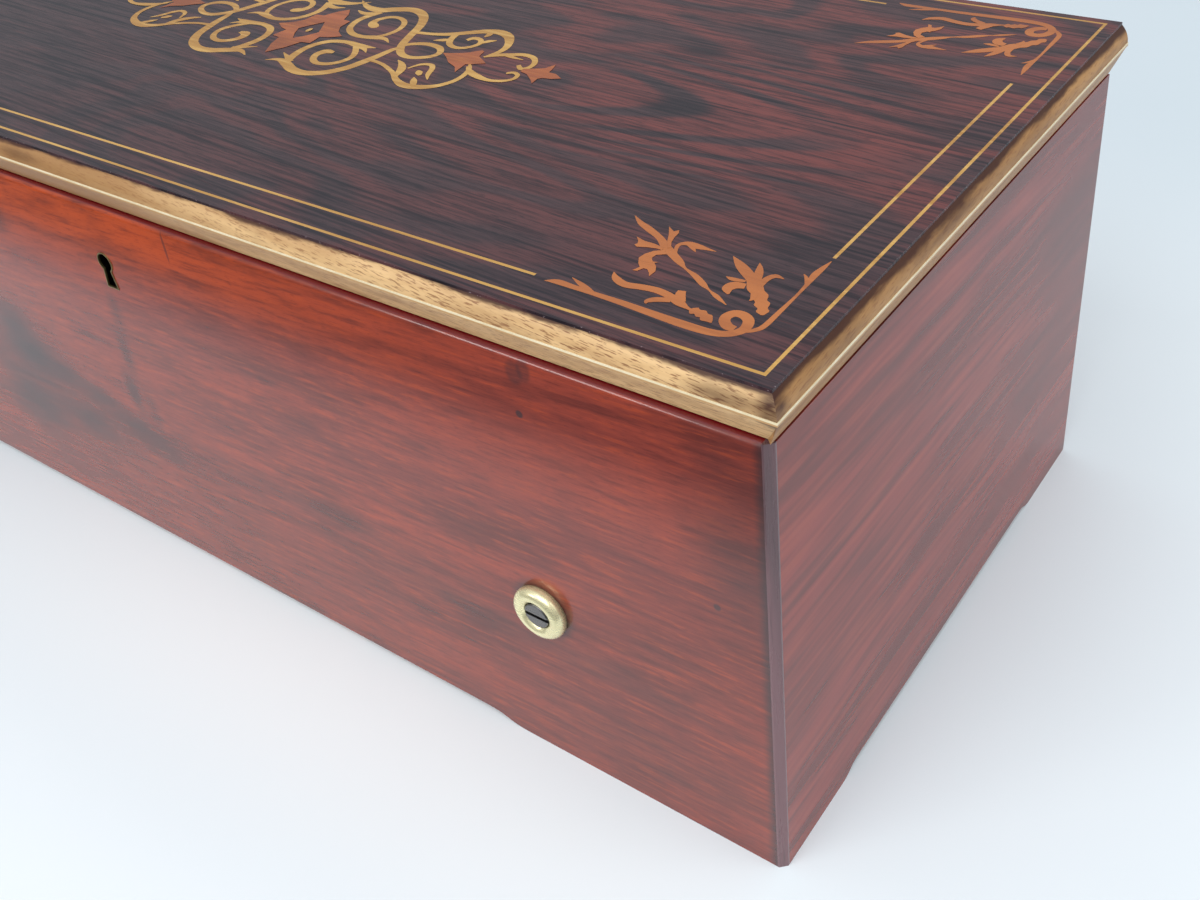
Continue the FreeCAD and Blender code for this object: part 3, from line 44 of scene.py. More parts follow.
# Camera: place in metres, turn in degrees, lens and sensor in millimetres
CAMERA_AT = (0.344117, -0.282722, 0.320478)
CAMERA_TURN = (55.43270, 5.65627, 36.06414)
CAMERA_LENS = 40.3063
CAMERA_SENSOR = 36.0
CAMERA_SHIFT = (0.00068, -0.09123)
CAMERA_NEAR = 0.01

# Lamps: place, aim and size in metres, power in watts
LAMPS = {
    "soft_front": ((0.25, -1.3, 1.5), (0.0, 0.0, 0.05), (1.6, 1.2), 18.6),
    "window": ((-0.94, -1.6, 0.84), (0.0, 0.0, 0.1), (0.55, 0.32), 5.0),
    "soft_right": ((1.6, 0.2, 1.3), (0.0, 0.0, 0.05), (1.2, 1.2), 6.5),
}

# Sky: the colour changes with the height of the view
SKY_LOW = (0.34, 0.35, 0.37)
SKY_HIGH = (0.82, 0.84, 0.87)
SKY_FADE = (0.1, 0.8)

# Floor: fades in metres, with painted shade far behind the box and a painted dark reflection before it; the
# painted light spot before the box in millimetres
FLOOR_HALF = 6.0
FLOOR_COLOUR = (0.79, 0.865, 0.905)
FLOOR_SHADE = 0.97
# Painted light on the floor before the box, and its spot
FLOOR_PAINTED_LIGHT = (0.91, 0.96, 0.98)
PAINTED_LIGHT_SPOT = ((60, -118, 0), (250, 66, 30))
# Painted shade on the floor far behind the box
FLOOR_PAINTED_SHADE = (0.66, 0.75, 0.80)
PAINTED_SHADE_FADE = (0.16, 0.40)
# Painted dark reflection of the floor before the box, and where it starts
DARK_REFLECTION_COLOUR = (0.01, 0.01, 0.01)
DARK_REFLECTION_FADE = (-0.184, -0.230)

# Wood and metal colours, linear
MAHOGANY_DARK = (0.075, 0.015, 0.013)
MAHOGANY_DEEP = (0.19, 0.030, 0.020)
MAHOGANY = (0.27, 0.041, 0.023)
MAHOGANY_LIGHT = (0.47, 0.068, 0.015)
# Painted shade on the top edge of the front, under the lid
LIP_PAINTED_SHADE = (0.14, 0.004, 0.007)
SMOKE_COLOUR = (0.030, 0.020, 0.023)
END_DARK = (0.090, 0.020, 0.018)
END_DEEP = (0.20, 0.032, 0.025)
END_WOOD = (0.27, 0.042, 0.033)
END_LIGHT = (0.38, 0.066, 0.038)
ROSEWOOD_DARK = (0.010, 0.010, 0.016)
ROSEWOOD = (0.050, 0.032, 0.038)
ROSEWOOD_RED = (0.165, 0.043, 0.040)
# Light chips of the rim, partly painted highlight
CHIP_AND_HIGHLIGHT = (0.36, 0.27, 0.29)
MOULDING_DARK = (0.12, 0.045, 0.016)
MOULDING_BROWN = (0.33, 0.165, 0.058)
MOULDING = (0.50, 0.29, 0.125)
MOULDING_ENDS = (0.47, 0.25, 0.092)
MOULDING_LIGHT = (0.72, 0.47, 0.225)
PORE = (0.19, 0.062, 0.022)
STAIN = (0.050, 0.014, 0.008)
BEAD_DARK = (0.070, 0.040, 0.046)
BEAD_WOOD = (0.17, 0.080, 0.090)
HOLLY = (0.74, 0.62, 0.39)
HOLLY_LIGHT = (0.82, 0.72, 0.50)
BOXWOOD_DARK = (0.40, 0.20, 0.045)
BOXWOOD = (0.56, 0.325, 0.085)
BOXWOOD_LIGHT = (0.65, 0.41, 0.135)
PEARWOOD_DARK = (0.36, 0.115, 0.036)
PEARWOOD = (0.46, 0.155, 0.045)
REDWOOD_DARK = (0.246, 0.069, 0.0252)
REDWOOD = (0.41, 0.115, 0.042)
CARCASS_DARK = (0.16, 0.075, 0.032)
CARCASS = (0.34, 0.19, 0.095)
EBONY = (0.016, 0.012, 0.011)
EBONY_LIGHT = (0.032, 0.024, 0.022)
GRIP_WOOD = (0.030, 0.013, 0.010)
BRASS = (0.83, 0.66, 0.30)
CUP_BRASS = (0.90, 0.83, 0.50)
OLD_BRASS = (0.40, 0.32, 0.14)
GILT = (0.86, 0.65, 0.27)
STEEL = (0.58, 0.58, 0.59)
WORN_STEEL = (0.21, 0.205, 0.20)
BLUED = (0.16, 0.17, 0.20)
GLASS = (0.97, 0.99, 0.98)


# Shader helpers
class Shader:
    """A new material with short ways to add and join its nodes."""

    def __init__(self, name):
        self.material = bpy.data.materials.new(name)
        self.material.use_nodes = True
        self.nodes = self.material.node_tree.nodes
        self.links = self.material.node_tree.links
        self.surface = self.nodes["Principled BSDF"]

    def feed(self, socket, value):
        if isinstance(value, bpy.types.NodeSocket):
            self.links.new(value, socket)
        else:
            socket.default_value = value

    def place(self, stretch, turn=(0.0, 0.0, 0.0)):
        """The part's own coordinates in metres, turned and then multiplied by the stretch."""
        coordinates = self.nodes.new("ShaderNodeTexCoord")
        mapping = self.nodes.new("ShaderNodeMapping")
        mapping.vector_type = "TEXTURE"
        mapping.inputs["Scale"].default_value = [1.0 / value for value in stretch]
        mapping.inputs["Rotation"].default_value = [math.radians(angle) for angle in turn]
        self.links.new(coordinates.outputs["Object"], mapping.inputs["Vector"])
        return mapping.outputs["Vector"]

    def noise(self, place, scale, detail=4.0, rough=0.5, twist=0.0):
        node = self.nodes.new("ShaderNodeTexNoise")
        self.feed(node.inputs["Vector"], place)
        node.inputs["Scale"].default_value = scale
        node.inputs["Detail"].default_value = detail
        node.inputs["Roughness"].default_value = rough
        node.inputs["Distortion"].default_value = twist
        return node.outputs["Fac"]

    def math(self, operation, first, second=0.0):
        node = self.nodes.new("ShaderNodeMath")
        node.operation = operation
        self.feed(node.inputs[0], first)
        self.feed(node.inputs[1], second)
        return node.outputs[0]

    def times(self, first, second):
        return self.math("MULTIPLY", first, second)

    def fade(self, value, start, end, low=0.0, high=1.0):
        """Maps start..end to low..high with soft ends."""
        node = self.nodes.new("ShaderNodeMapRange")
        node.interpolation_type = "SMOOTHSTEP"
        self.feed(node.inputs["Value"], value)
        node.inputs["From Min"].default_value = start
        node.inputs["From Max"].default_value = end
        node.inputs["To Min"].default_value = low
        node.inputs["To Max"].default_value = high
        return node.outputs[0]

    def mix(self, share, first, second):
        node = self.nodes.new("ShaderNodeMix")
        node.data_type = "RGBA"
        self.feed(node.inputs["Factor"], share)
        for socket, colour in ((node.inputs[6], first), (node.inputs[7], second)):
            self.feed(socket, colour if isinstance(colour, bpy.types.NodeSocket) else (*colour, 1.0))
        return node.outputs[2]

    def tint(self, tone, colour, value, start, end, share=1.0):
        """Lays a colour over the tone as the value goes from start to end, up to the share."""
        return self.mix(self.fade(value, start, end, high=share), tone, colour)

    def axis(self, name):
        coordinates = self.nodes.new("ShaderNodeTexCoord")
        split = self.nodes.new("ShaderNodeSeparateXYZ")
        self.links.new(coordinates.outputs["Object"], split.inputs["Vector"])
        return split.outputs[name]

    def spot(self, centre, reach, soft):
        """1 inside an ellipsoid of the part's own space in millimetres, falling to 0 at its skin."""
        coordinates = self.nodes.new("ShaderNodeTexCoord")
        shift = self.nodes.new("ShaderNodeVectorMath")
        shift.operation = "SUBTRACT"
        self.links.new(coordinates.outputs["Object"], shift.inputs[0])
        shift.inputs[1].default_value = [value * MM for value in centre]
        shrink = self.nodes.new("ShaderNodeVectorMath")
        shrink.operation = "DIVIDE"
        self.links.new(shift.outputs[0], shrink.inputs[0])
        shrink.inputs[1].default_value = [value * MM for value in reach]
        length = self.nodes.new("ShaderNodeVectorMath")
        length.operation = "LENGTH"
        self.links.new(shrink.outputs[0], length.inputs[0])
        return self.fade(length.outputs["Value"], 1.0, 1.0 - soft)

    def dab(self, tone, colour, spots, soft, mask=1.0):
        """Lays a colour over the tone at each spot, given as its centre, reach and share."""
        for centre, reach, share in spots:
            cover = self.times(self.spot(centre, reach, soft), mask)
            tone = self.mix(self.times(cover, share), tone, colour)
        return tone

    def bump(self, height, strength, distance):
        node = self.nodes.new("ShaderNodeBump")
        node.inputs["Strength"].default_value = strength
        node.inputs["Distance"].default_value = distance
        self.links.new(height, node.inputs["Height"])
        self.links.new(node.outputs["Normal"], self.surface.inputs["Normal"])

    def finish(self, colour, roughness, metal=0.0, ior=1.5, coat=0.0, coat_rough=0.05):
        if not isinstance(colour, bpy.types.NodeSocket):
            colour = (*colour, 1.0)
        self.feed(self.surface.inputs["Base Color"], colour)
        self.feed(self.surface.inputs["Roughness"], roughness)
        self.surface.inputs["Metallic"].default_value = metal
        self.surface.inputs["IOR"].default_value = ior
        self.surface.inputs["Coat Weight"].default_value = coat
        self.surface.inputs["Coat Roughness"].default_value = coat_rough
        return self.material


# Plain woods
EVEN = (1.0, 1.0, 1.0)
GRAIN_ALONG = {"X": (1.0, 14.0, 14.0), "Y": (14.0, 1.0, 14.0), "Z": (14.0, 14.0, 1.0)}
PORE_ALONG = 0.5
PORE_SHADE = 0.35
PORE_BUMP = (0.12, 0.00012)


def wood(name, grain, dark, middle, light, roughness=0.3, size=1.0, pores=0.35, coat=0.0, ior=1.5):
    """A plain wood with soft bands, fine streaks and short dark pores along one axis."""
    shader = Shader(name)
    along = GRAIN_ALONG[grain]
    pores_along = [PORE_ALONG if value == 1.0 else value for value in along]
    bands = shader.noise(shader.place(along), 2.6 / size, detail=5.0, rough=0.55, twist=0.6)
    streaks = shader.noise(shader.place(along), 26.0 / size, detail=6.0, rough=0.65)
    pore = shader.noise(shader.place(pores_along), 110.0 / size, detail=2.0)
    tone = shader.tint(dark, middle, bands, 0.36, 0.62)
    tone = shader.tint(tone, light, streaks, 0.45, 0.75, 0.8)
    tone = shader.tint(tone, [value * PORE_SHADE for value in dark], pore, 0.60, 0.72, pores)
    shader.bump(pore, *PORE_BUMP)
    rough = shader.fade(streaks, 0.2, 0.8, roughness - 0.05, roughness + 0.07)
    return shader.finish(tone, rough, ior=ior, coat=coat)


# Front: tilt of the grain in degrees, painted light at the upper left, burnt edge and painted shade on the
# lip in metres, reach of spots in millimetres
FRONT_LOW, FRONT_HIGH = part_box("front_panel")
FRONT_TILT = (0.0, -3.0, 0.0)
PAINTED_LIGHT_ACROSS = (0.19, -0.02)
PAINTED_LIGHT_UP = (0.112, 0.136)
BURNT_EDGE = (FRONT_HIGH.x - 3.0 * MM, FRONT_HIGH.x)
LIP_SHADE_FADE = (FRONT_HIGH.z - 0.85 * MM, FRONT_HIGH.z - 0.40 * MM)
SMOKE_DEEP = 20
MARK_DEEP = 6

# Smoky spots of the front: x, z, reach in x and in z in millimetres, and share
SMOKE = [
    (-76, 78, 22, 18, 0.80),
    (-70, 66, 20, 16, 0.85),
    (-82, 40, 28, 24, 0.80),
    (-76, 58, 52, 44, 0.55),
    (-40, 46, 44, 24, 0.45),
    (-52, 64, 18, 9, 0.75),
    (-34, 60, 18, 8, 0.75),
    (-18, 55, 18, 8, 0.75),
    (-3, 49, 16, 8, 0.65),
    (-44, 43, 18, 8, 0.50),
    (-4, 104, 5, 14, 0.55),
    (-7, 88, 5, 16, 0.60),
    (-11, 70, 6, 16, 0.70),
    (-3, 66, 6, 13, 0.45),
    (-64, 125, 19, 9, 0.90),
    (226, 112, 24, 46, 0.55),
    (190, 20, 70, 18, 0.30),
    (150, 46, 110, 8, 0.45),
    (70, 56, 70, 7, 0.40),
]

# Small dark marks of the front, and dirt with painted shade round its two washers, given in the same way
WASHERS_LOW, WASHERS_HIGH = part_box("cup_washers")
WASHER_R = (WASHERS_HIGH.z - WASHERS_LOW.z) / 2 / MM
WASHER_X = WASHERS_HIGH.x / MM - WASHER_R
WASHER_Z = WASHERS_LOW.z / MM + WASHER_R
DIRT_AND_SHADE_R = 1.4 * WASHER_R
DIRT_AND_SHADE_SHARE = 0.9
FRONT_MARKS = [
    (163.6, 127, 1.4, 1.4, 0.80),
    (217, 90, 1.3, 1.3, 0.70),
    (164, 139.5, 3.2, 4.4, 0.45),
    (167, 141, 2.6, 4.4, 0.45),
    (35, 138.5, 0.7, 6.5, 0.55),
    # Dirt and painted shade round each washer
    (-WASHER_X, WASHER_Z, DIRT_AND_SHADE_R, DIRT_AND_SHADE_R, DIRT_AND_SHADE_SHARE),
    (WASHER_X, WASHER_Z, DIRT_AND_SHADE_R, DIRT_AND_SHADE_R, DIRT_AND_SHADE_SHARE),
]


def on_front(rows, deep):
    """Spots round points of the front face, with one reach into the wood for all."""
    face = FRONT_LOW.y / MM
    return [((x, face, z), (wide, deep, tall), share) for x, z, wide, tall, share in rows]


def front_mahogany():
    """Red polished mahogany: painted light in orange under the lid at the left, smoky below it, fine streaks
    all over, painted shade on the top edge.
    """
    shader = Shader("front_mahogany")
    bands = shader.noise(shader.place((1.0, 1.0, 8.0), FRONT_TILT), 7.0, detail=3.0, twist=0.5)
    lines = shader.noise(shader.place((0.8, 1.0, 16.0), FRONT_TILT), 7.5, detail=3.0, rough=0.55, twist=0.4)
    blotch = shader.noise(shader.place((1.0, 1.0, 3.0), FRONT_TILT), 26.0, rough=0.6)
    streaks = shader.noise(shader.place((1.0, 5.0, 11.0), FRONT_TILT), 75.0, rough=0.6)
    pore = shader.noise(shader.place((1.0, 5.0, 8.0), FRONT_TILT), 330.0, detail=2.0)
    haze = shader.noise(shader.place((1.0, 1.0, 2.0)), 26.0, rough=0.6, twist=0.6)
    cloudy = shader.fade(haze, 0.30, 0.60, 0.70, 1.0)
    # Painted light: a lighter orange patch at the upper left, under the lid
    across = shader.fade(shader.axis("X"), *PAINTED_LIGHT_ACROSS)
    painted_light = shader.times(across, shader.fade(shader.axis("Z"), *PAINTED_LIGHT_UP))
    sides = shader.math("ABSOLUTE", shader.axis("X"))
    tone = shader.tint(MAHOGANY_DEEP, MAHOGANY, bands, 0.34, 0.64)
    tone = shader.mix(painted_light, tone, MAHOGANY_LIGHT)
    tone = shader.tint(tone, MAHOGANY_DARK, lines, 0.54, 0.72, 0.55)
    tone = shader.tint(tone, MAHOGANY_DARK, blotch, 0.46, 0.74, 0.55)
    tone = shader.tint(tone, MAHOGANY_DARK, streaks, 0.46, 0.74, 0.55)
    tone = shader.tint(tone, MAHOGANY_LIGHT, streaks, 0.50, 0.26, 0.45)
    tone = shader.dab(tone, SMOKE_COLOUR, on_front(SMOKE, SMOKE_DEEP), 0.95, cloudy)
    tone = shader.tint(tone, MAHOGANY_DARK, pore, 0.54, 0.70, 0.32)
    tone = shader.dab(tone, SMOKE_COLOUR, on_front(FRONT_MARKS, MARK_DEEP), 0.45)
    tone = shader.tint(tone, SMOKE_COLOUR, sides, *BURNT_EDGE, 0.75)
    # Painted shade: the top edge of the front under the lid turns dark maroon
    tone = shader.tint(tone, LIP_PAINTED_SHADE, shader.axis("Z"), *LIP_SHADE_FADE)
    rough = shader.fade(bands, 0.3, 0.7, 0.16, 0.22)
    return shader.finish(tone, rough, ior=1.48, coat=0.25, coat_rough=0.10)


# Ends: tilt of the grain in degrees, dark streaks and a painted shade towards the back in millimetres, each
# with its share
END_TILT = (-2.0, 0.0, 0.0)
END_SHADES = [
    ((233, -40, 26), (20, 70, 5), 0.45),
    ((233, 10, 78), (20, 60, 5), 0.45),
    ((233, -60, 100), (20, 40, 6), 0.40),
    ((233, 60, 60), (20, 40, 20), 0.30),
    # Painted shade: a darker patch towards the back
    ((233, 92, 96), (20, 60, 60), 0.50),
]


def end_mahogany():
    """The ends: a browner, quieter mahogany with the grain from front to back."""
    shader = Shader("end_mahogany")
    bands = shader.noise(shader.place((1.0, 0.8, 9.0), END_TILT), 7.0, detail=2.0, twist=0.3)
    lines = shader.noise(shader.place((1.0, 0.6, 16.0), END_TILT), 7.0, detail=1.0, twist=0.2)
    streaks = shader.noise(shader.place((1.0, 1.0, 14.0), END_TILT), 26.0, detail=1.0)
    tone = shader.tint(END_DEEP, END_WOOD, bands, 0.32, 0.62)
    tone = shader.tint(tone, END_DARK, lines, 0.50, 0.74, 0.55)
    tone = shader.tint(tone, END_DARK, streaks, 0.46, 0.74, 0.50)
    tone = shader.tint(tone, END_LIGHT, streaks, 0.50, 0.26, 0.40)
    tone = shader.dab(tone, END_DARK, END_SHADES, 0.9)
    return shader.finish(tone, 0.25, ior=1.38, coat=0.08, coat_rough=0.12)


# Lid: tilt of the grain in degrees, rings, arches, red, and worn rim with light chips that are partly
# painted highlight, in metres
LID_TILT = (0.0, 0.0, -3.0)
RING_TURNS = 70.0
ARCH_Y = -0.001
ARCH_BEND = 150.0
ARCH_START = 0.1575
ARCH_TURNS = 131.0
RED_ACROSS = (-0.12, 0.13)
RED_BACK = (-0.095, 0.0)
VENEER_LOW, VENEER_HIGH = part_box("lid_veneer")
RIM_RIGHT = (VENEER_HIGH.x - 0.5 * MM, VENEER_HIGH.x)
RIM_FRONT = (VENEER_LOW.y + 0.5 * MM, VENEER_LOW.y)

# Spots of the lid in millimetres: where the rings are arches, a red flame, and dark knots with their shares
ARCH_SPOT = ((160, 0, 161), (80, 48, 20))
FLAME_SPOT = ((196, 5, 161), (40, 18, 20))
KNOTS = [
    ((133, 34, 161), (16, 5, 6), 0.8),
    ((146, -2, 161), (18, 7, 6), 0.6),
    ((60, 28, 161), (12, 3, 6), 0.3),
]


def lid_rings(shader):
    """Growth rings of the lid: wavy all over, and pointed arches in the right half."""
    swell = shader.noise(shader.place((1.0, 2.6, 1.0), LID_TILT), 5.0, detail=3.0, rough=0.45, twist=0.5)
    aside = shader.math("SUBTRACT", shader.axis("Y"), ARCH_Y)
    bend = shader.times(shader.times(aside, aside), ARCH_BEND)
    run = shader.math("SUBTRACT", shader.math("ADD", shader.axis("X"), bend), ARCH_START)
    phase = shader.math("ADD", shader.times(run, ARCH_TURNS), shader.fade(swell, 0.3, 0.7, -0.8, 0.8))
    arches = shader.fade(shader.math("SINE", phase), -0.85, -0.05, 0.05, 1.0)
    waves = shader.math("SINE", shader.times(swell, RING_TURNS))
    rings = shader.fade(waves, -0.80, 0.90, 0.15, 0.95)
    change = shader.times(shader.spot(*ARCH_SPOT, 0.6), shader.math("SUBTRACT", arches, rings))
    return shader.math("ADD", rings, change)


def rosewood():
    """Near black rosewood: fine slate and purple streaks, red flames towards the right and the back."""
    shader = Shader("lid_rosewood")
    stripes = shader.noise(shader.place((1.0, 40.0, 1.0), LID_TILT), 17.0, detail=3.0, rough=0.6)
    fine = shader.noise(shader.place((1.0, 24.0, 1.0), LID_TILT), 46.0, rough=0.65)
    dash = shader.noise(shader.place((1.0, 10.0, 1.0), LID_TILT), 190.0, detail=2.0)
    chips_and_highlight = shader.fade(shader.noise(shader.place(EVEN), 1300.0, detail=2.0), 0.66, 0.74, high=0.7)
    side = shader.fade(shader.axis("X"), *RED_ACROSS, 0.06, 1.0)
    back = shader.fade(shader.axis("Y"), *RED_BACK, 0.40, 1.0)
    red = shader.times(shader.times(side, back), lid_rings(shader))
    red = shader.times(red, shader.fade(stripes, 0.30, 0.62, 0.30, 1.0))
    flame = shader.times(shader.spot(*FLAME_SPOT, 1.0), shader.fade(stripes, 0.34, 0.60, 0.1, 0.8))
    right_rim = shader.fade(shader.axis("X"), *RIM_RIGHT)
    rim = shader.math("MAXIMUM", right_rim, shader.fade(shader.axis("Y"), *RIM_FRONT))
    tone = shader.tint(ROSEWOOD_DARK, ROSEWOOD, stripes, 0.32, 0.58)
    tone = shader.mix(red, tone, ROSEWOOD_RED)
    tone = shader.mix(flame, tone, ROSEWOOD_RED)
    tone = shader.tint(tone, ROSEWOOD_DARK, fine, 0.46, 0.72, 0.70)
    tone = shader.tint(tone, ROSEWOOD_RED, fine, 0.46, 0.26, 0.30)
    tone = shader.tint(tone, ROSEWOOD_DARK, dash, 0.54, 0.70, 0.50)
    # Light chips along the worn rim, partly painted highlight
    tone = shader.mix(shader.times(rim, chips_and_highlight), tone, CHIP_AND_HIGHLIGHT)
    tone = shader.dab(tone, ROSEWOOD_DARK, KNOTS, 0.8)
    shader.bump(fine, 0.06, 0.0001)
    return shader.finish(tone, shader.fade(fine, 0.3, 0.7, 0.24, 0.34), ior=1.34)


# Moulding: tilt of the grain in degrees, fades and stain in metres
MOULDING_ALONG = {"X": (1.0, 9.0, 9.0), "Y": (9.0, 1.0, 9.0)}
MOULDING_TILT = {"X": (0.0, 6.0, 0.0), "Y": (5.0, 0.0, 0.0)}
PATCH_STRETCH = 4.0
BROWN_FADE = (0.10, 0.0)
PORE_FADE = (-0.05, 0.20)
MOULDING_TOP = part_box("lid_moulding_front")[1].z
STAIN_RAGGED = 0.5 * MM
STAIN_FRONT = (MOULDING_TOP - 0.8 * MM, MOULDING_TOP + 0.1 * MM)
STAIN_ENDS = (MOULDING_TOP - 2.0 * MM, MOULDING_TOP - 0.6 * MM)

# Stained spots of the moulding in millimetres, each with its share
MITRE_SPOTS = [
    ((236, -103, 157), (6, 6, 8), 1.0),
    ((225, -103, 157), (14, 6, 3), 0.60),
    ((235, -80, 157), (5, 20, 3), 0.55),
    ((236, -20, 158), (5, 40, 3), 0.45),
    ((-20, -103, 157.5), (16, 6, 2.5), 0.45),
]


def moulding_wood(name, grain, light, middle, pores, stain_fade):
    """Worn tan moulding: short dark pores, and brown stain left along its upper edge and at the mitre."""
    shader = Shader(name)
    along = MOULDING_ALONG[grain]
    tilt = MOULDING_TILT[grain]
    bands = shader.noise(shader.place(along, tilt), 16.0, rough=0.6, twist=0.4)
    pore = shader.noise(shader.place(along, tilt), 300.0, detail=2.0)
    patches = shader.noise(shader.place([min(value, PATCH_STRETCH) for value in along]), 45.0, rough=0.6)
    few_pores = shader.fade(shader.axis("X"), *PORE_FADE, 0.3, 1.0)
    ragged = shader.fade(patches, 0.3, 0.7, -STAIN_RAGGED, STAIN_RAGGED)
    edge = shader.math("ADD", shader.axis("Z"), ragged)
    tone = shader.tint(middle, light, bands, 0.32, 0.66)
    tone = shader.tint(tone, MOULDING_DARK, patches, 0.52, 0.76, 0.35)
    tone = shader.tint(tone, MOULDING_BROWN, shader.axis("X"), *BROWN_FADE, 0.92)
    tone = shader.mix(shader.times(few_pores, shader.fade(pore, 0.53, 0.66, high=pores)), tone, PORE)
    tone = shader.tint(tone, STAIN, edge, *stain_fade, 0.95)
    tone = shader.dab(tone, STAIN, MITRE_SPOTS, 0.8, shader.fade(patches, 0.38, 0.58, 0.5, 1.0))
    shader.bump(pore, 0.12, 0.00015)
    return shader.finish(tone, 0.42, ior=1.36, coat=0.05, coat_rough=0.25)


# Height in metres at which the light line round the lid turns brown
LINE_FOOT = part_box("lid_edge_stringing")[0].z
HOLLY_FADE = (LINE_FOOT + 0.58 * MM, LINE_FOOT + 0.38 * MM)


def edge_holly():
    """The light line round the lid: clean holly above, as brown as the moulding below."""
    shader = Shader("edge_holly")
    streaks = shader.noise(shader.place(EVEN), 160.0, rough=0.6)
    tone = shader.tint(HOLLY, HOLLY_LIGHT, streaks, 0.35, 0.65)
    tone = shader.tint(tone, MOULDING, shader.axis("Z"), *HOLLY_FADE)
    return shader.finish(tone, 0.35, coat=0.12, coat_rough=0.25)


# Metals and glass
BRUSHED = (1.0, 20.0, 20.0)
TARNISH = 0.72
LACQUERED = 0.6
# Painted shade: the keyhole's inner walls turn black behind the front face
KEYHOLE_PAINTED_SHADE = (FRONT_LOW.y + 0.1 * MM, FRONT_LOW.y + 0.6 * MM)


def metal(name, colour, roughness, shade_behind=None, bare=1.0):
    """Brushed metal with an uneven shine, bare or lacquered, and black behind a given Y as painted shade."""
    shader = Shader(name)
    brush = shader.noise(shader.place(BRUSHED), 90.0, detail=3.0, rough=0.6)
    cloud = shader.noise(shader.place(EVEN), 45.0, rough=0.55)
    tone = shader.tint(colour, [value * TARNISH for value in colour], cloud, 0.35, 0.70, 0.45)
    if shade_behind:
        tone = shader.tint(tone, EBONY, shader.axis("Y"), *shade_behind)
    uneven = shader.fade(cloud, 0.3, 0.7, roughness, roughness + 0.08)
    rough = shader.math("ADD", shader.fade(brush, 0.3, 0.7, high=0.10), uneven)
    return shader.finish(tone, rough, metal=bare)


def clear_glass():
    shader = Shader("pane_glass")
    shader.surface.inputs["Transmission Weight"].default_value = 1.0
    return shader.finish(GLASS, 0.02)


# Materials of the CAD nodes
INLAY_IOR = 1.36


def wood_table():
    """Each wood of the case and the lids, with the nodes that are made of it."""
    rear = wood("back_mahogany", "X", MAHOGANY_DEEP, MAHOGANY, MAHOGANY_LIGHT, coat=0.2)
    bead = wood("bead", "Z", BEAD_DARK, BEAD_WOOD, BEAD_WOOD, 0.28, coat=0.25)
    carcass_x = wood("carcass_x", "X", CARCASS_DARK, CARCASS, MOULDING, 0.55)
    carcass_y = wood("carcass_y", "Y", CARCASS_DARK, CARCASS, MOULDING, 0.55)
    boxwood = wood("boxwood", "X", BOXWOOD_DARK, BOXWOOD, BOXWOOD_LIGHT, size=0.6, pores=0.15, ior=INLAY_IOR)
    moulding = moulding_wood("moulding_front", "X", MOULDING_LIGHT, MOULDING, 0.75, STAIN_FRONT)
    side_moulding = moulding_wood("moulding_ends", "Y", MOULDING_ENDS, MOULDING_BROWN, 0.45, STAIN_ENDS)
    ebony = wood("ebonised", "X", EBONY, EBONY, EBONY_LIGHT, coat=0.3)
    grip = wood("grip", "X", GRIP_WOOD, GRIP_WOOD, BEAD_WOOD, coat=0.4)
    return {
        front_mahogany(): ["front_panel"],
        rear: ["back_panel"],
        end_mahogany(): ["left_end", "right_end"],
        bead: ["corner_beads"],
        carcass_x: ["base_board", "lid_board", "lid_rails", "glass_ledges"],
        carcass_y: ["left_partition", "right_partition"],
        rosewood(): ["lid_veneer"],
        boxwood: ["lid_stringing"],
        edge_holly(): ["lid_edge_stringing"],
        moulding: ["lid_moulding_front"],
        side_moulding: ["lid_moulding_left", "lid_moulding_right"],
        ebony: ["glass_frame"],
        grip: ["winding_handle"],
    }


def metal_table():
    """Each metal, and the glass, with the nodes that are made of it."""
    return {
        clear_glass(): ["glass_pane"],
        metal("cup_brass", CUP_BRASS, 0.17, bare=LACQUERED): ["cup_washers"],
        metal("old_brass", OLD_BRASS, 0.30, KEYHOLE_PAINTED_SHADE): ["keyhole_escutcheon"],
        metal("brass", BRASS, 0.20): [
            "hinge_case_leaves", "hinge_lid_leaves", "lock_case", "lock_link_plate", "barrel_drum",
            "cylinder", "left_bridge", "right_bridge", "barrel_bridge", "governor_plate", "lever_bracket",
            "worm_bracket", "cylinder_wheel", "change_snail", "barrel_wheel", "first_wheel", "worm_wheel",
            "fly", "comb_base"],
        metal("gilt_brass", GILT, 0.27): ["bedplate"],
        metal("worn_steel", WORN_STEEL, 0.22): ["case_screws"],
        metal("steel", STEEL, 0.26): [
            "lock_bolt", "hinge_pins", "glass_pivots", "comb", "comb_screws", "cylinder_arbor",
            "cylinder_pinion", "barrel_arbor", "ratchet_wheel", "ratchet_click", "winding_lever",
            "first_arbor", "second_arbor", "worm", "start_lever", "change_lever"],
        metal("dark_steel", BLUED, 0.30): ["mainspring"],
    }


def dress_nodes():
    for material, names in {**wood_table(), **metal_table()}.items():
        for name in names:
            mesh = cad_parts[name].data
            mesh.materials.clear()
            mesh.materials.append(material)


# Marquetry of the lid, in millimetres: lift off the veneer, step between shapes, and points to a curve
INLAY_LIFT = 0.02
RED_LIFT = 6 * INLAY_LIFT
DOT_LIFT = 7 * INLAY_LIFT
INLAY_STEP = 0.004
CURVE_STEPS = 7
DOT_SIDES = 20

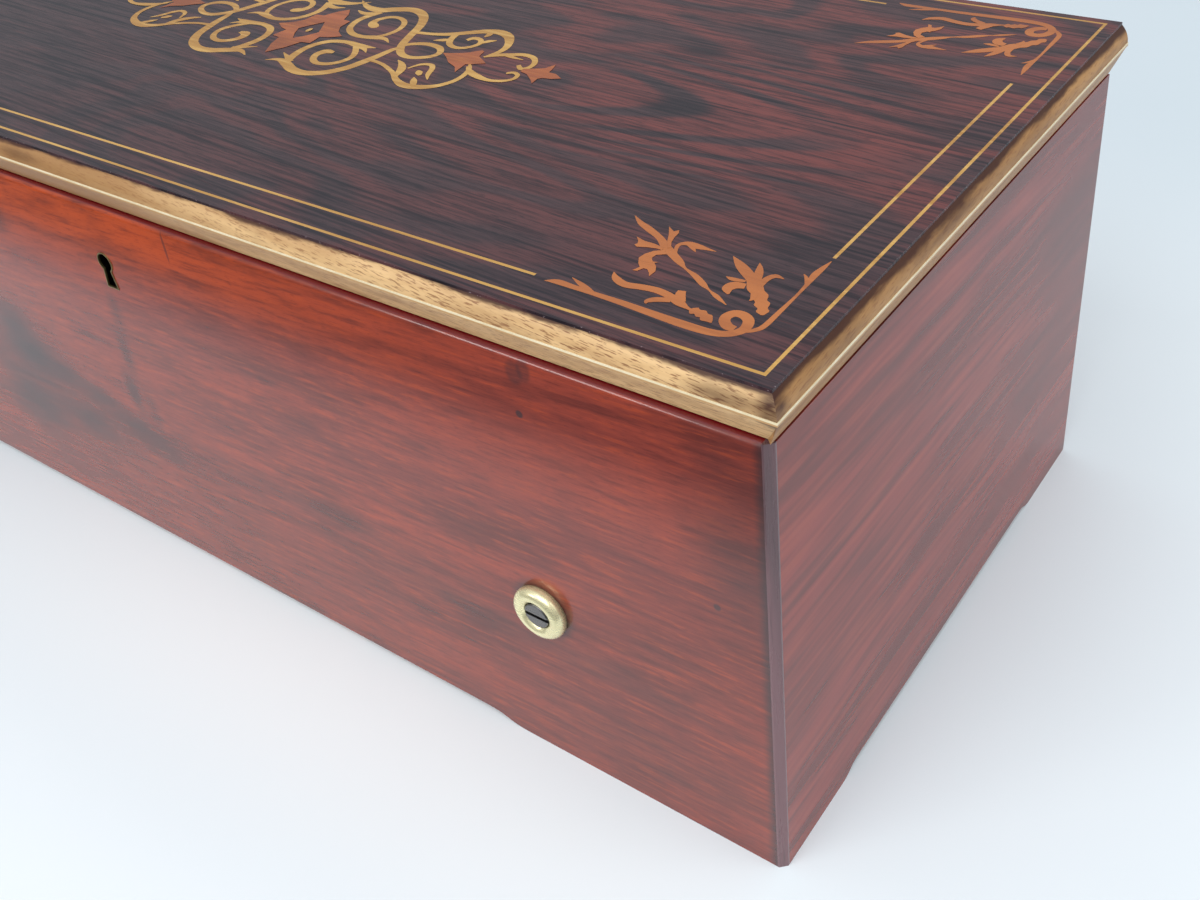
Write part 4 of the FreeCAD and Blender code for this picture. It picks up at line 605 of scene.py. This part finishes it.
# The middle scroll, drawn on a grid of six squares to the millimetre: x, y and width, right half only
SCROLL_UNIT = 1.0 / 6.0
SCROLL_MIDDLE = (716, 282)
SCROLL_AT = (-0.7, -2.0)
SCROLL_STROKES = [
    [(703, 115, 2), (740, 137, 15), (780, 142, 24), (810, 126, 23), (850, 114, 21), (890, 130, 20),
     (920, 170, 19), (940, 225, 18), (958, 268, 17), (985, 297, 15), (1015, 303, 13), (1045, 288, 13),
     (1054, 267, 13), (1038, 246, 14), (1005, 240, 14), (975, 250, 13), (956, 268, 10)],
    [(735, 160, 2), (760, 168, 13), (790, 160, 16)],
    [(790, 150, 18), (779, 180, 16), (777, 208, 15), (790, 240, 14), (815, 259, 14), (845, 264, 14),
     (875, 257, 17), (900, 254, 11), (922, 266, 2)],
    [(872, 257, 10), (889, 235, 12), (893, 205, 12), (880, 175, 12), (855, 160, 11), (830, 163, 12),
     (815, 182, 14), (817, 202, 18), (832, 212, 20), (842, 212, 9)],
    [(745, 428, 2), (772, 416, 13), (800, 424, 20), (835, 440, 21), (870, 442, 20), (905, 425, 20),
     (930, 393, 20), (943, 352, 20), (950, 318, 17), (954, 292, 14), (960, 276, 10)],
    [(754, 387, 2), (782, 402, 12), (800, 415, 16)],
    [(797, 420, 16), (785, 390, 18), (780, 358, 17), (787, 328, 16), (806, 306, 15), (838, 297, 14),
     (870, 300, 17), (892, 300, 14), (917, 296, 2)],
    [(868, 303, 10), (890, 325, 13), (903, 350, 13), (898, 375, 13), (880, 393, 13), (855, 397, 13),
     (835, 385, 14), (826, 366, 17), (833, 349, 20), (852, 347, 9)],
    [(880, 305, 12), (898, 309, 10), (914, 321, 2)],
    [(935, 205, 11), (975, 198, 12), (1010, 185, 15), (1040, 165, 17), (1070, 146, 20), (1100, 139, 21),
     (1130, 150, 20), (1154, 180, 16), (1161, 210, 13), (1152, 240, 8)],
    [(1024, 182, 14), (1030, 205, 14), (1045, 225, 12), (1070, 232, 11), (1090, 220, 11), (1098, 200, 11),
     (1088, 184, 11), (1070, 182, 13), (1063, 195, 10)],
    [(1033, 205, 8), (1018, 213, 13), (1000, 222, 3)],
    [(1083, 145, 10), (1087, 158, 13), (1086, 170, 3)],
    [(1096, 200, 7), (1107, 184, 12), (1120, 174, 3)],
    [(945, 344, 9), (985, 350, 9), (1030, 370, 10), (1060, 392, 13), (1090, 405, 18), (1120, 402, 18),
     (1150, 385, 14), (1167, 356, 12), (1168, 325, 11), (1157, 297, 9), (1143, 281, 3)],
    [(1050, 386, 9), (1038, 354, 17), (1020, 334, 12), (1001, 323, 2)],
    [(1046, 345, 5), (1058, 321, 9), (1078, 315, 10), (1092, 328, 11), (1102, 350, 10), (1117, 369, 2)],
    [(1072, 344, 4), (1080, 351, 14), (1090, 360, 6)],
    [(1112, 401, 10), (1097, 384, 13), (1086, 371, 2)],
    [(1148, 246, 6), (1165, 230, 13), (1190, 218, 13), (1215, 208, 13), (1240, 212, 12), (1257, 230, 11),
     (1260, 250, 11), (1250, 261, 11), (1235, 250, 8)],
    [(1180, 222, 10), (1205, 226, 8), (1228, 227, 2)],
    [(1148, 293, 4), (1170, 310, 14), (1195, 320, 15), (1225, 325, 10), (1250, 318, 10), (1265, 303, 9),
     (1262, 286, 9), (1248, 280, 9), (1237, 288, 7)],
]
SCROLL_RED = [
    [(1060, 262), (1085, 254), (1105, 243), (1125, 222), (1133, 226), (1138, 247), (1172, 268), (1150, 281),
     (1138, 287), (1143, 322), (1127, 304), (1100, 292), (1080, 275)],
    [(1254, 260), (1275, 250), (1290, 241), (1299, 220), (1306, 240), (1308, 253), (1325, 254), (1346, 266),
     (1330, 275), (1312, 278), (1306, 284), (1309, 304), (1295, 291), (1275, 276), (1257, 271)],
    [(716, 165), (735, 188), (745, 212), (765, 214), (768, 245), (782, 264), (808, 280), (785, 294),
     (765, 300), (770, 332), (748, 335), (738, 365), (716, 402), (716, 327), (733, 306), (745, 283),
     (731, 260), (716, 238)],
]
SCROLL_DOT = (0.9, 1.6)

# The corner sprays, drawn on a grid of twelve squares to the millimetre
SPRAY_UNIT = 1.0 / 12.0
SPRAY_AT = (140.0, -30.0)
SPRAY_STROKES = [
    [(350, 726, 2), (385, 715, 22), (440, 716, 20), (500, 717, 18), (600, 719, 22), (700, 724, 26),
     (800, 728, 30), (880, 726, 28), (925, 711, 26), (947, 685, 28), (949, 660, 30), (938, 635, 30),
     (915, 622, 30), (892, 625, 30), (881, 646, 30), (887, 667, 30), (906, 683, 30), (928, 686, 24)],
    [(505, 712, 8), (462, 699, 18), (410, 679, 2)],
    [(957, 684, 10), (974, 668, 15), (987, 640, 17), (989, 560, 14), (990, 480, 9), (988, 420, 13),
     (984, 370, 21), (987, 330, 15), (991, 292, 2)],
    [(986, 425, 6), (973, 397, 11), (956, 381, 2)],
    [(852, 602, 2), (810, 580, 15), (775, 562, 6), (745, 545, 19), (705, 520, 18), (660, 500, 8),
     (630, 480, 22), (590, 455, 27), (545, 425, 27), (505, 395, 22), (450, 368, 24), (410, 350, 18),
     (371, 323, 2)],
    [(592, 445, 8), (578, 418, 12), (578, 399, 14), (597, 386, 21), (628, 388, 25), (655, 388, 14),
     (688, 388, 2)],
    [(600, 393, 8), (622, 403, 12), (639, 416, 2)],
    [(958, 600, 8), (950, 585, 34), (943, 573, 26), (932, 557, 42), (922, 545, 32), (908, 528, 46),
     (893, 513, 38), (876, 497, 44), (850, 468, 32), (818, 443, 34),
     (783, 418, 28), (743, 388, 2)],
    [(866, 475, 22), (851, 437, 25), (839, 410, 18), (825, 386, 2)],
    [(882, 485, 20), (882, 447, 20), (896, 424, 18), (923, 427, 2)],
    [(838, 482, 10), (802, 488, 16), (780, 485, 2)],
    [(850, 503, 24), (822, 512, 34), (815, 534, 32), (830, 556, 6)],
    [(888, 520, 20), (897, 543, 15), (895, 559, 2)],
    [(496, 604, 2), (520, 628, 22), (560, 642, 26), (610, 632, 26), (655, 627, 26), (700, 635, 26),
     (740, 650, 28), (775, 662, 10), (800, 665, 18)],
    [(738, 645, 30), (720, 616, 28), (714, 598, 22)],
    [(712, 650, 20), (676, 665, 22), (660, 681, 18), (662, 694, 4)],
    [(782, 660, 12), (793, 663, 34), (803, 664, 24), (816, 667, 36), (828, 671, 26), (838, 676, 36),
     (850, 682, 22), (862, 690, 3)],
]
SPRAY_PATCHES = [
    [(556, 432), (535, 400), (520, 370), (495, 331), (523, 349), (533, 336), (541, 350), (543, 375),
     (550, 402), (566, 428)],
    [(545, 436), (510, 430), (480, 430), (444, 420), (462, 438), (468, 450), (463, 459), (476, 466),
     (505, 455), (532, 449), (552, 450)],
    [(556, 446), (532, 463), (518, 488), (515, 512), (530, 536), (545, 551), (536, 574), (550, 571),
     (558, 552), (570, 551), (585, 565), (595, 579), (596, 550), (585, 530), (569, 515), (578, 508),
     (560, 511), (548, 496), (550, 478), (575, 462)],
]


def curve_point(points, index, share):
    """A point of the smooth curve through all the points, between one point and the next."""
    before = points[max(index - 1, 0)]
    start, end = points[index], points[index + 1]
    after = points[min(index + 2, len(points) - 1)]
    result = []
    for a, b, c, d in zip(before, start, end, after):
        bend = 2 * a - 5 * b + 4 * c - d
        rest = 3 * b - a - 3 * c + d
        result.append(b + 0.5 * share * (c - a + share * (bend + share * rest)))
    return result


def ribbon(points):
    """A flat band along a smooth curve whose width follows the third value of each point."""
    path = []
    for index in range(len(points) - 1):
        path += [curve_point(points, index, step / CURVE_STEPS) for step in range(CURVE_STEPS)]
    path.append(list(points[-1]))
    corners = []
    for index, (x, y, width) in enumerate(path):
        ahead = path[min(index + 1, len(path) - 1)]
        behind = path[max(index - 1, 0)]
        run = Vector((ahead[0] - behind[0], ahead[1] - behind[1])).normalized()
        side = Vector((-run.y, run.x)) * max(width, 1.0) / 2
        corners.append((x + side.x, y + side.y))
        corners.append((x - side.x, y - side.y))
    faces = [(2 * i, 2 * i + 1, 2 * i + 3, 2 * i + 2) for i in range(len(path) - 1)]
    return corners, faces


def patch(points):
    return points, [tuple(range(len(points)))]


def inlay(name, shapes, to_lid, mirrors, material, lift):
    """One flat piece on top of the lid from all the shapes, repeated for each mirroring."""
    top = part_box("lid_veneer")[1].z / MM + lift
    mesh = bmesh.new()
    for level, (corners, faces) in enumerate(shapes):
        rise = INLAY_STEP / len(corners)
        for flip in mirrors:
            made = []
            for index, corner in enumerate(corners):
                x, y = to_lid(corner, flip)
                height = top + level * INLAY_STEP + (index * rise if len(faces) > 1 else 0.0)
                made.append(mesh.verts.new((x * MM, y * MM, height * MM)))
            for face in faces:
                turned = mesh.faces.new([made[index] for index in face])
                turned.normal_update()
                if turned.normal.z < 0:
                    turned.normal_flip()
    bmesh.ops.triangulate(mesh, faces=mesh.faces)
    piece_from(mesh, name, material, "lid")


def scroll_to_lid(corner, flip):
    x = flip[0] * (corner[0] - SCROLL_MIDDLE[0]) * SCROLL_UNIT + SCROLL_AT[0]
    y = flip[1] * (SCROLL_MIDDLE[1] - corner[1]) * SCROLL_UNIT + SCROLL_AT[1]
    return x, y


def spray_to_lid(corner, flip):
    x = SPRAY_AT[0] + corner[0] * SPRAY_UNIT
    y = SPRAY_AT[1] - corner[1] * SPRAY_UNIT
    return flip[0] * x, flip[1] * y


def dot_outline(radii):
    points = []
    for step in range(DOT_SIDES):
        turn = 2 * math.pi * step / DOT_SIDES
        x = SCROLL_MIDDLE[0] + radii[0] / SCROLL_UNIT * math.cos(turn)
        y = SCROLL_MIDDLE[1] + radii[1] / SCROLL_UNIT * math.sin(turn)
        points.append((x, y))
    return points


def inlay_wood(name, dark, middle, light, roughness, pores):
    return wood(name, "X", dark, middle, light, roughness, size=0.5, pores=pores, ior=INLAY_IOR)


def add_marquetry():
    sides = [(1, 1), (-1, 1)]
    quarters = [(1, 1), (-1, 1), (1, -1), (-1, -1)]
    yellow = inlay_wood("inlay_boxwood", BOXWOOD_DARK, BOXWOOD, BOXWOOD_LIGHT, 0.30, 0.15)
    red = inlay_wood("inlay_redwood", REDWOOD_DARK, REDWOOD, PEARWOOD, 0.32, 0.20)
    pear = inlay_wood("inlay_pearwood", PEARWOOD_DARK, PEARWOOD, PEARWOOD, 0.32, 0.20)
    scroll = [ribbon(points) for points in SCROLL_STROKES]
    scroll_red = [patch(points) for points in SCROLL_RED]
    scroll_dot = [patch(dot_outline(SCROLL_DOT))]
    sprays = [ribbon(points) for points in SPRAY_STROKES] + [patch(points) for points in SPRAY_PATCHES]
    inlay("scroll", scroll, scroll_to_lid, sides, yellow, INLAY_LIFT)
    inlay("scroll_red", scroll_red, scroll_to_lid, sides, red, RED_LIFT)
    inlay("scroll_dot", scroll_dot, scroll_to_lid, sides[:1], yellow, DOT_LIFT)
    inlay("corner_sprays", sprays, spray_to_lid, quarters, pear, INLAY_LIFT)


# Pins of the cylinder, in millimetres
PIN_SEED = 8
PIN_TALL = 0.85
PIN_HALF = 0.30
PIN_SINK = 0.05
PIN_TRACKS = 8
PINS_PER_TOOTH = 40
TOOTH_PITCH = 2.5

# Slotted heads, in millimetres: places, and radius with height
HEAD_SIDES = 28
HEAD_SLOT = 0.18
HEAD_SLOPE = 0.86
HINGE_SCREWS = [(sign * x, 93.0) for sign in (-1, 1) for x in (137.0, 150.0, 163.0)]
LOCK_SCREWS = [(-17.0, -88.0), (17.0, -88.0)]
CAP_INSET = (5.0, 4.5)
HINGE_HEAD = (2.4, 0.15)
LOCK_HEAD = (2.2, 0.2)
CAP_HEAD = (2.4, 1.0)


def piece_from(mesh, name, material, body):
    """Links an object made from a filled mesh, which moves with one body."""
    data = bpy.data.meshes.new(name)
    mesh.normal_update()
    mesh.to_mesh(data)
    mesh.free()
    data.materials.append(material)
    piece = bpy.data.objects.new(name, data)
    bpy.context.scene.collection.objects.link(piece)
    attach(piece, body)


def add_pin(mesh, middle, radius, x, turn):
    """A three-sided steel point that stands out of the cylinder."""
    out = Vector((0.0, math.cos(turn), math.sin(turn)))
    side = Vector((0.0, -math.sin(turn), math.cos(turn))) * PIN_HALF
    along = Vector((PIN_HALF, 0.0, 0.0))
    foot = Vector((x, middle.y / MM, middle.z / MM)) + out * (radius - PIN_SINK)
    feet = [foot + along, foot - along + side, foot - along - side]
    base = [mesh.verts.new(point * MM) for point in feet]
    tip = mesh.verts.new((foot + out * (PIN_TALL + PIN_SINK)) * MM)
    for index in range(3):
        mesh.faces.new((base[index], base[(index + 1) % 3], tip))


def add_pins():
    """The tunes: points in a few tracks before each tooth of the comb."""
    chance = random.Random(PIN_SEED)
    low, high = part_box("cylinder")
    middle = (low + high) / 2
    radius = (high.z - low.z) / 2 / MM
    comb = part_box("comb")
    teeth = round((comb[1].x - comb[0].x) / MM / TOOTH_PITCH)
    mesh = bmesh.new()
    for tooth in range(teeth):
        centre = (tooth - (teeth - 1) / 2) * TOOTH_PITCH
        for _ in range(PINS_PER_TOOTH):
            track = chance.randrange(PIN_TRACKS) - (PIN_TRACKS - 1) / 2
            x = centre + track * TOOTH_PITCH / PIN_TRACKS
            add_pin(mesh, middle, radius, x, chance.uniform(0.0, 2 * math.pi))
    bmesh.ops.recalc_face_normals(mesh, faces=mesh.faces)
    piece_from(mesh, "cylinder_pins", metal("pin_steel", WORN_STEEL, 0.3), "cylinder")


def half_ring(mesh, place, radius, least, side):
    """Points of half a circle on one side of the slot, none nearer to its middle than the least distance."""
    slot = math.asin(HEAD_SLOT)
    steps = HEAD_SIDES // 2
    points = []
    for step in range(steps + 1):
        turn = slot + (math.pi - 2 * slot) * step / steps
        x = place[0] + radius * math.cos(turn)
        y = place[1] + max(radius * math.sin(turn), least) * side
        points.append(mesh.verts.new((x * MM, y * MM, place[2] * MM)))
    return points


def half_head(mesh, place, radius, tall, up, side):
    """One half of a slotted head: a flat with a sloping rim, cut straight along the slot."""
    x, y, z = place
    foot = half_ring(mesh, (x, y, z), radius, radius * HEAD_SLOT, side)
    top = half_ring(mesh, (x, y, z + tall * up), radius * HEAD_SLOPE, radius * HEAD_SLOT, side)
    mesh.faces.new(top)
    for index in range(len(foot)):
        after = (index + 1) % len(foot)
        mesh.faces.new((foot[index], foot[after], top[after], top[index]))


def add_screws(name, places, z, head, up, body, material):
    """Slotted heads on a level face that looks up or down."""
    mesh = bmesh.new()
    for x, y in places:
        for side in (-1, 1):
            half_head(mesh, (x, y, z), *head, up, side)
    bmesh.ops.recalc_face_normals(mesh, faces=mesh.faces)
    piece_from(mesh, name, material, body)


def add_small_pieces():
    add_pins()
    steel = metal("screw_steel", STEEL, 0.24)
    yellow = metal("screw_brass", OLD_BRASS, 0.28)
    leaf_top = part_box("back_panel")[1].z / MM
    leaf_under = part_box("lid_rails")[0].z / MM
    lock_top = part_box("lock_case")[1].z / MM
    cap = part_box("worm_bracket")[1] / MM
    cap_screw = [(cap.x - CAP_INSET[0], cap.y - CAP_INSET[1])]
    add_screws("hinge_screws_case", HINGE_SCREWS, leaf_top, HINGE_HEAD, 1, "case", yellow)
    add_screws("hinge_screws_lid", HINGE_SCREWS, leaf_under, HINGE_HEAD, -1, "lid", yellow)
    add_screws("lock_screws", LOCK_SCREWS, lock_top, LOCK_HEAD, 1, "case", steel)
    add_screws("link_screws", LOCK_SCREWS, leaf_under, LOCK_HEAD, -1, "lid", steel)
    add_screws("worm_cap_screw", cap_screw, cap.z, CAP_HEAD, 1, "case", steel)


# Stage, light and camera
def floor_material():
    """A pale floor; seen in reflections only, it turns near black some distance before the box, as painted
    dark reflection.
    """
    shader = Shader("pale_floor")
    cloud = shader.noise(shader.place(EVEN), 3.0, detail=3.0)
    shade = [value * FLOOR_SHADE for value in FLOOR_COLOUR]
    tone = shader.tint(shade, FLOOR_COLOUR, cloud, 0.35, 0.65)
    # Painted light: a lighter spot on the floor before the box
    tone = shader.mix(shader.spot(*PAINTED_LIGHT_SPOT, 1.0), tone, FLOOR_PAINTED_LIGHT)
    # Painted shade: the floor darkens far behind the box
    tone = shader.tint(tone, FLOOR_PAINTED_SHADE, shader.axis("Y"), *PAINTED_SHADE_FADE)
    # Painted reflection: seen in reflections only, the floor turns near black before the box
    rays = shader.nodes.new("ShaderNodeLightPath")
    beyond = shader.fade(shader.axis("Y"), *DARK_REFLECTION_FADE)
    dark_reflection = shader.times(rays.outputs["Is Glossy Ray"], beyond)
    return shader.finish(shader.mix(dark_reflection, tone, DARK_REFLECTION_COLOUR), 0.7)


def add_floor():
    mesh = bpy.data.meshes.new("floor")
    half = FLOOR_HALF
    corners = [(-half, -half, 0), (half, -half, 0), (half, half, 0), (-half, half, 0)]
    mesh.from_pydata(corners, [], [(0, 1, 2, 3)])
    floor = bpy.data.objects.new("floor", mesh)
    bpy.context.scene.collection.objects.link(floor)
    mesh.materials.append(floor_material())


def add_sky():
    world = bpy.data.worlds.new("studio")
    bpy.context.scene.world = world
    world.use_nodes = True
    nodes = world.node_tree.nodes
    links = world.node_tree.links
    coordinates = nodes.new("ShaderNodeTexCoord")
    split = nodes.new("ShaderNodeSeparateXYZ")
    height = nodes.new("ShaderNodeMapRange")
    height.interpolation_type = "SMOOTHSTEP"
    height.inputs["From Min"].default_value = SKY_FADE[0]
    height.inputs["From Max"].default_value = SKY_FADE[1]
    blend = nodes.new("ShaderNodeMix")
    blend.data_type = "RGBA"
    blend.inputs[6].default_value = (*SKY_LOW, 1.0)
    blend.inputs[7].default_value = (*SKY_HIGH, 1.0)
    links.new(coordinates.outputs["Generated"], split.inputs["Vector"])
    links.new(split.outputs["Z"], height.inputs["Value"])
    links.new(height.outputs[0], blend.inputs["Factor"])
    links.new(blend.outputs[2], nodes["Background"].inputs["Color"])


def add_lamp(name, place, aim, size, power):
    data = bpy.data.lights.new(name, "AREA")
    data.energy = power
    data.shape = "RECTANGLE"
    data.size, data.size_y = size
    lamp = bpy.data.objects.new(name, data)
    lamp.location = place
    lamp.rotation_euler = (Vector(aim) - Vector(place)).to_track_quat("-Z", "Y").to_euler()
    bpy.context.scene.collection.objects.link(lamp)


def add_camera():
    data = bpy.data.cameras.new("camera")
    data.lens = CAMERA_LENS
    data.sensor_width = CAMERA_SENSOR
    data.shift_x, data.shift_y = CAMERA_SHIFT
    data.clip_start = CAMERA_NEAR
    camera = bpy.data.objects.new("camera", data)
    camera.location = CAMERA_AT
    camera.rotation_euler = [math.radians(angle) for angle in CAMERA_TURN]
    bpy.context.scene.collection.objects.link(camera)
    bpy.context.scene.camera = camera


def main():
    bpy.context.scene.view_settings.view_transform = "Standard"
    dress_nodes()
    add_marquetry()
    add_small_pieces()
    add_floor()
    add_sky()
    for name, settings in LAMPS.items():
        add_lamp(name, *settings)
    add_camera()


main()
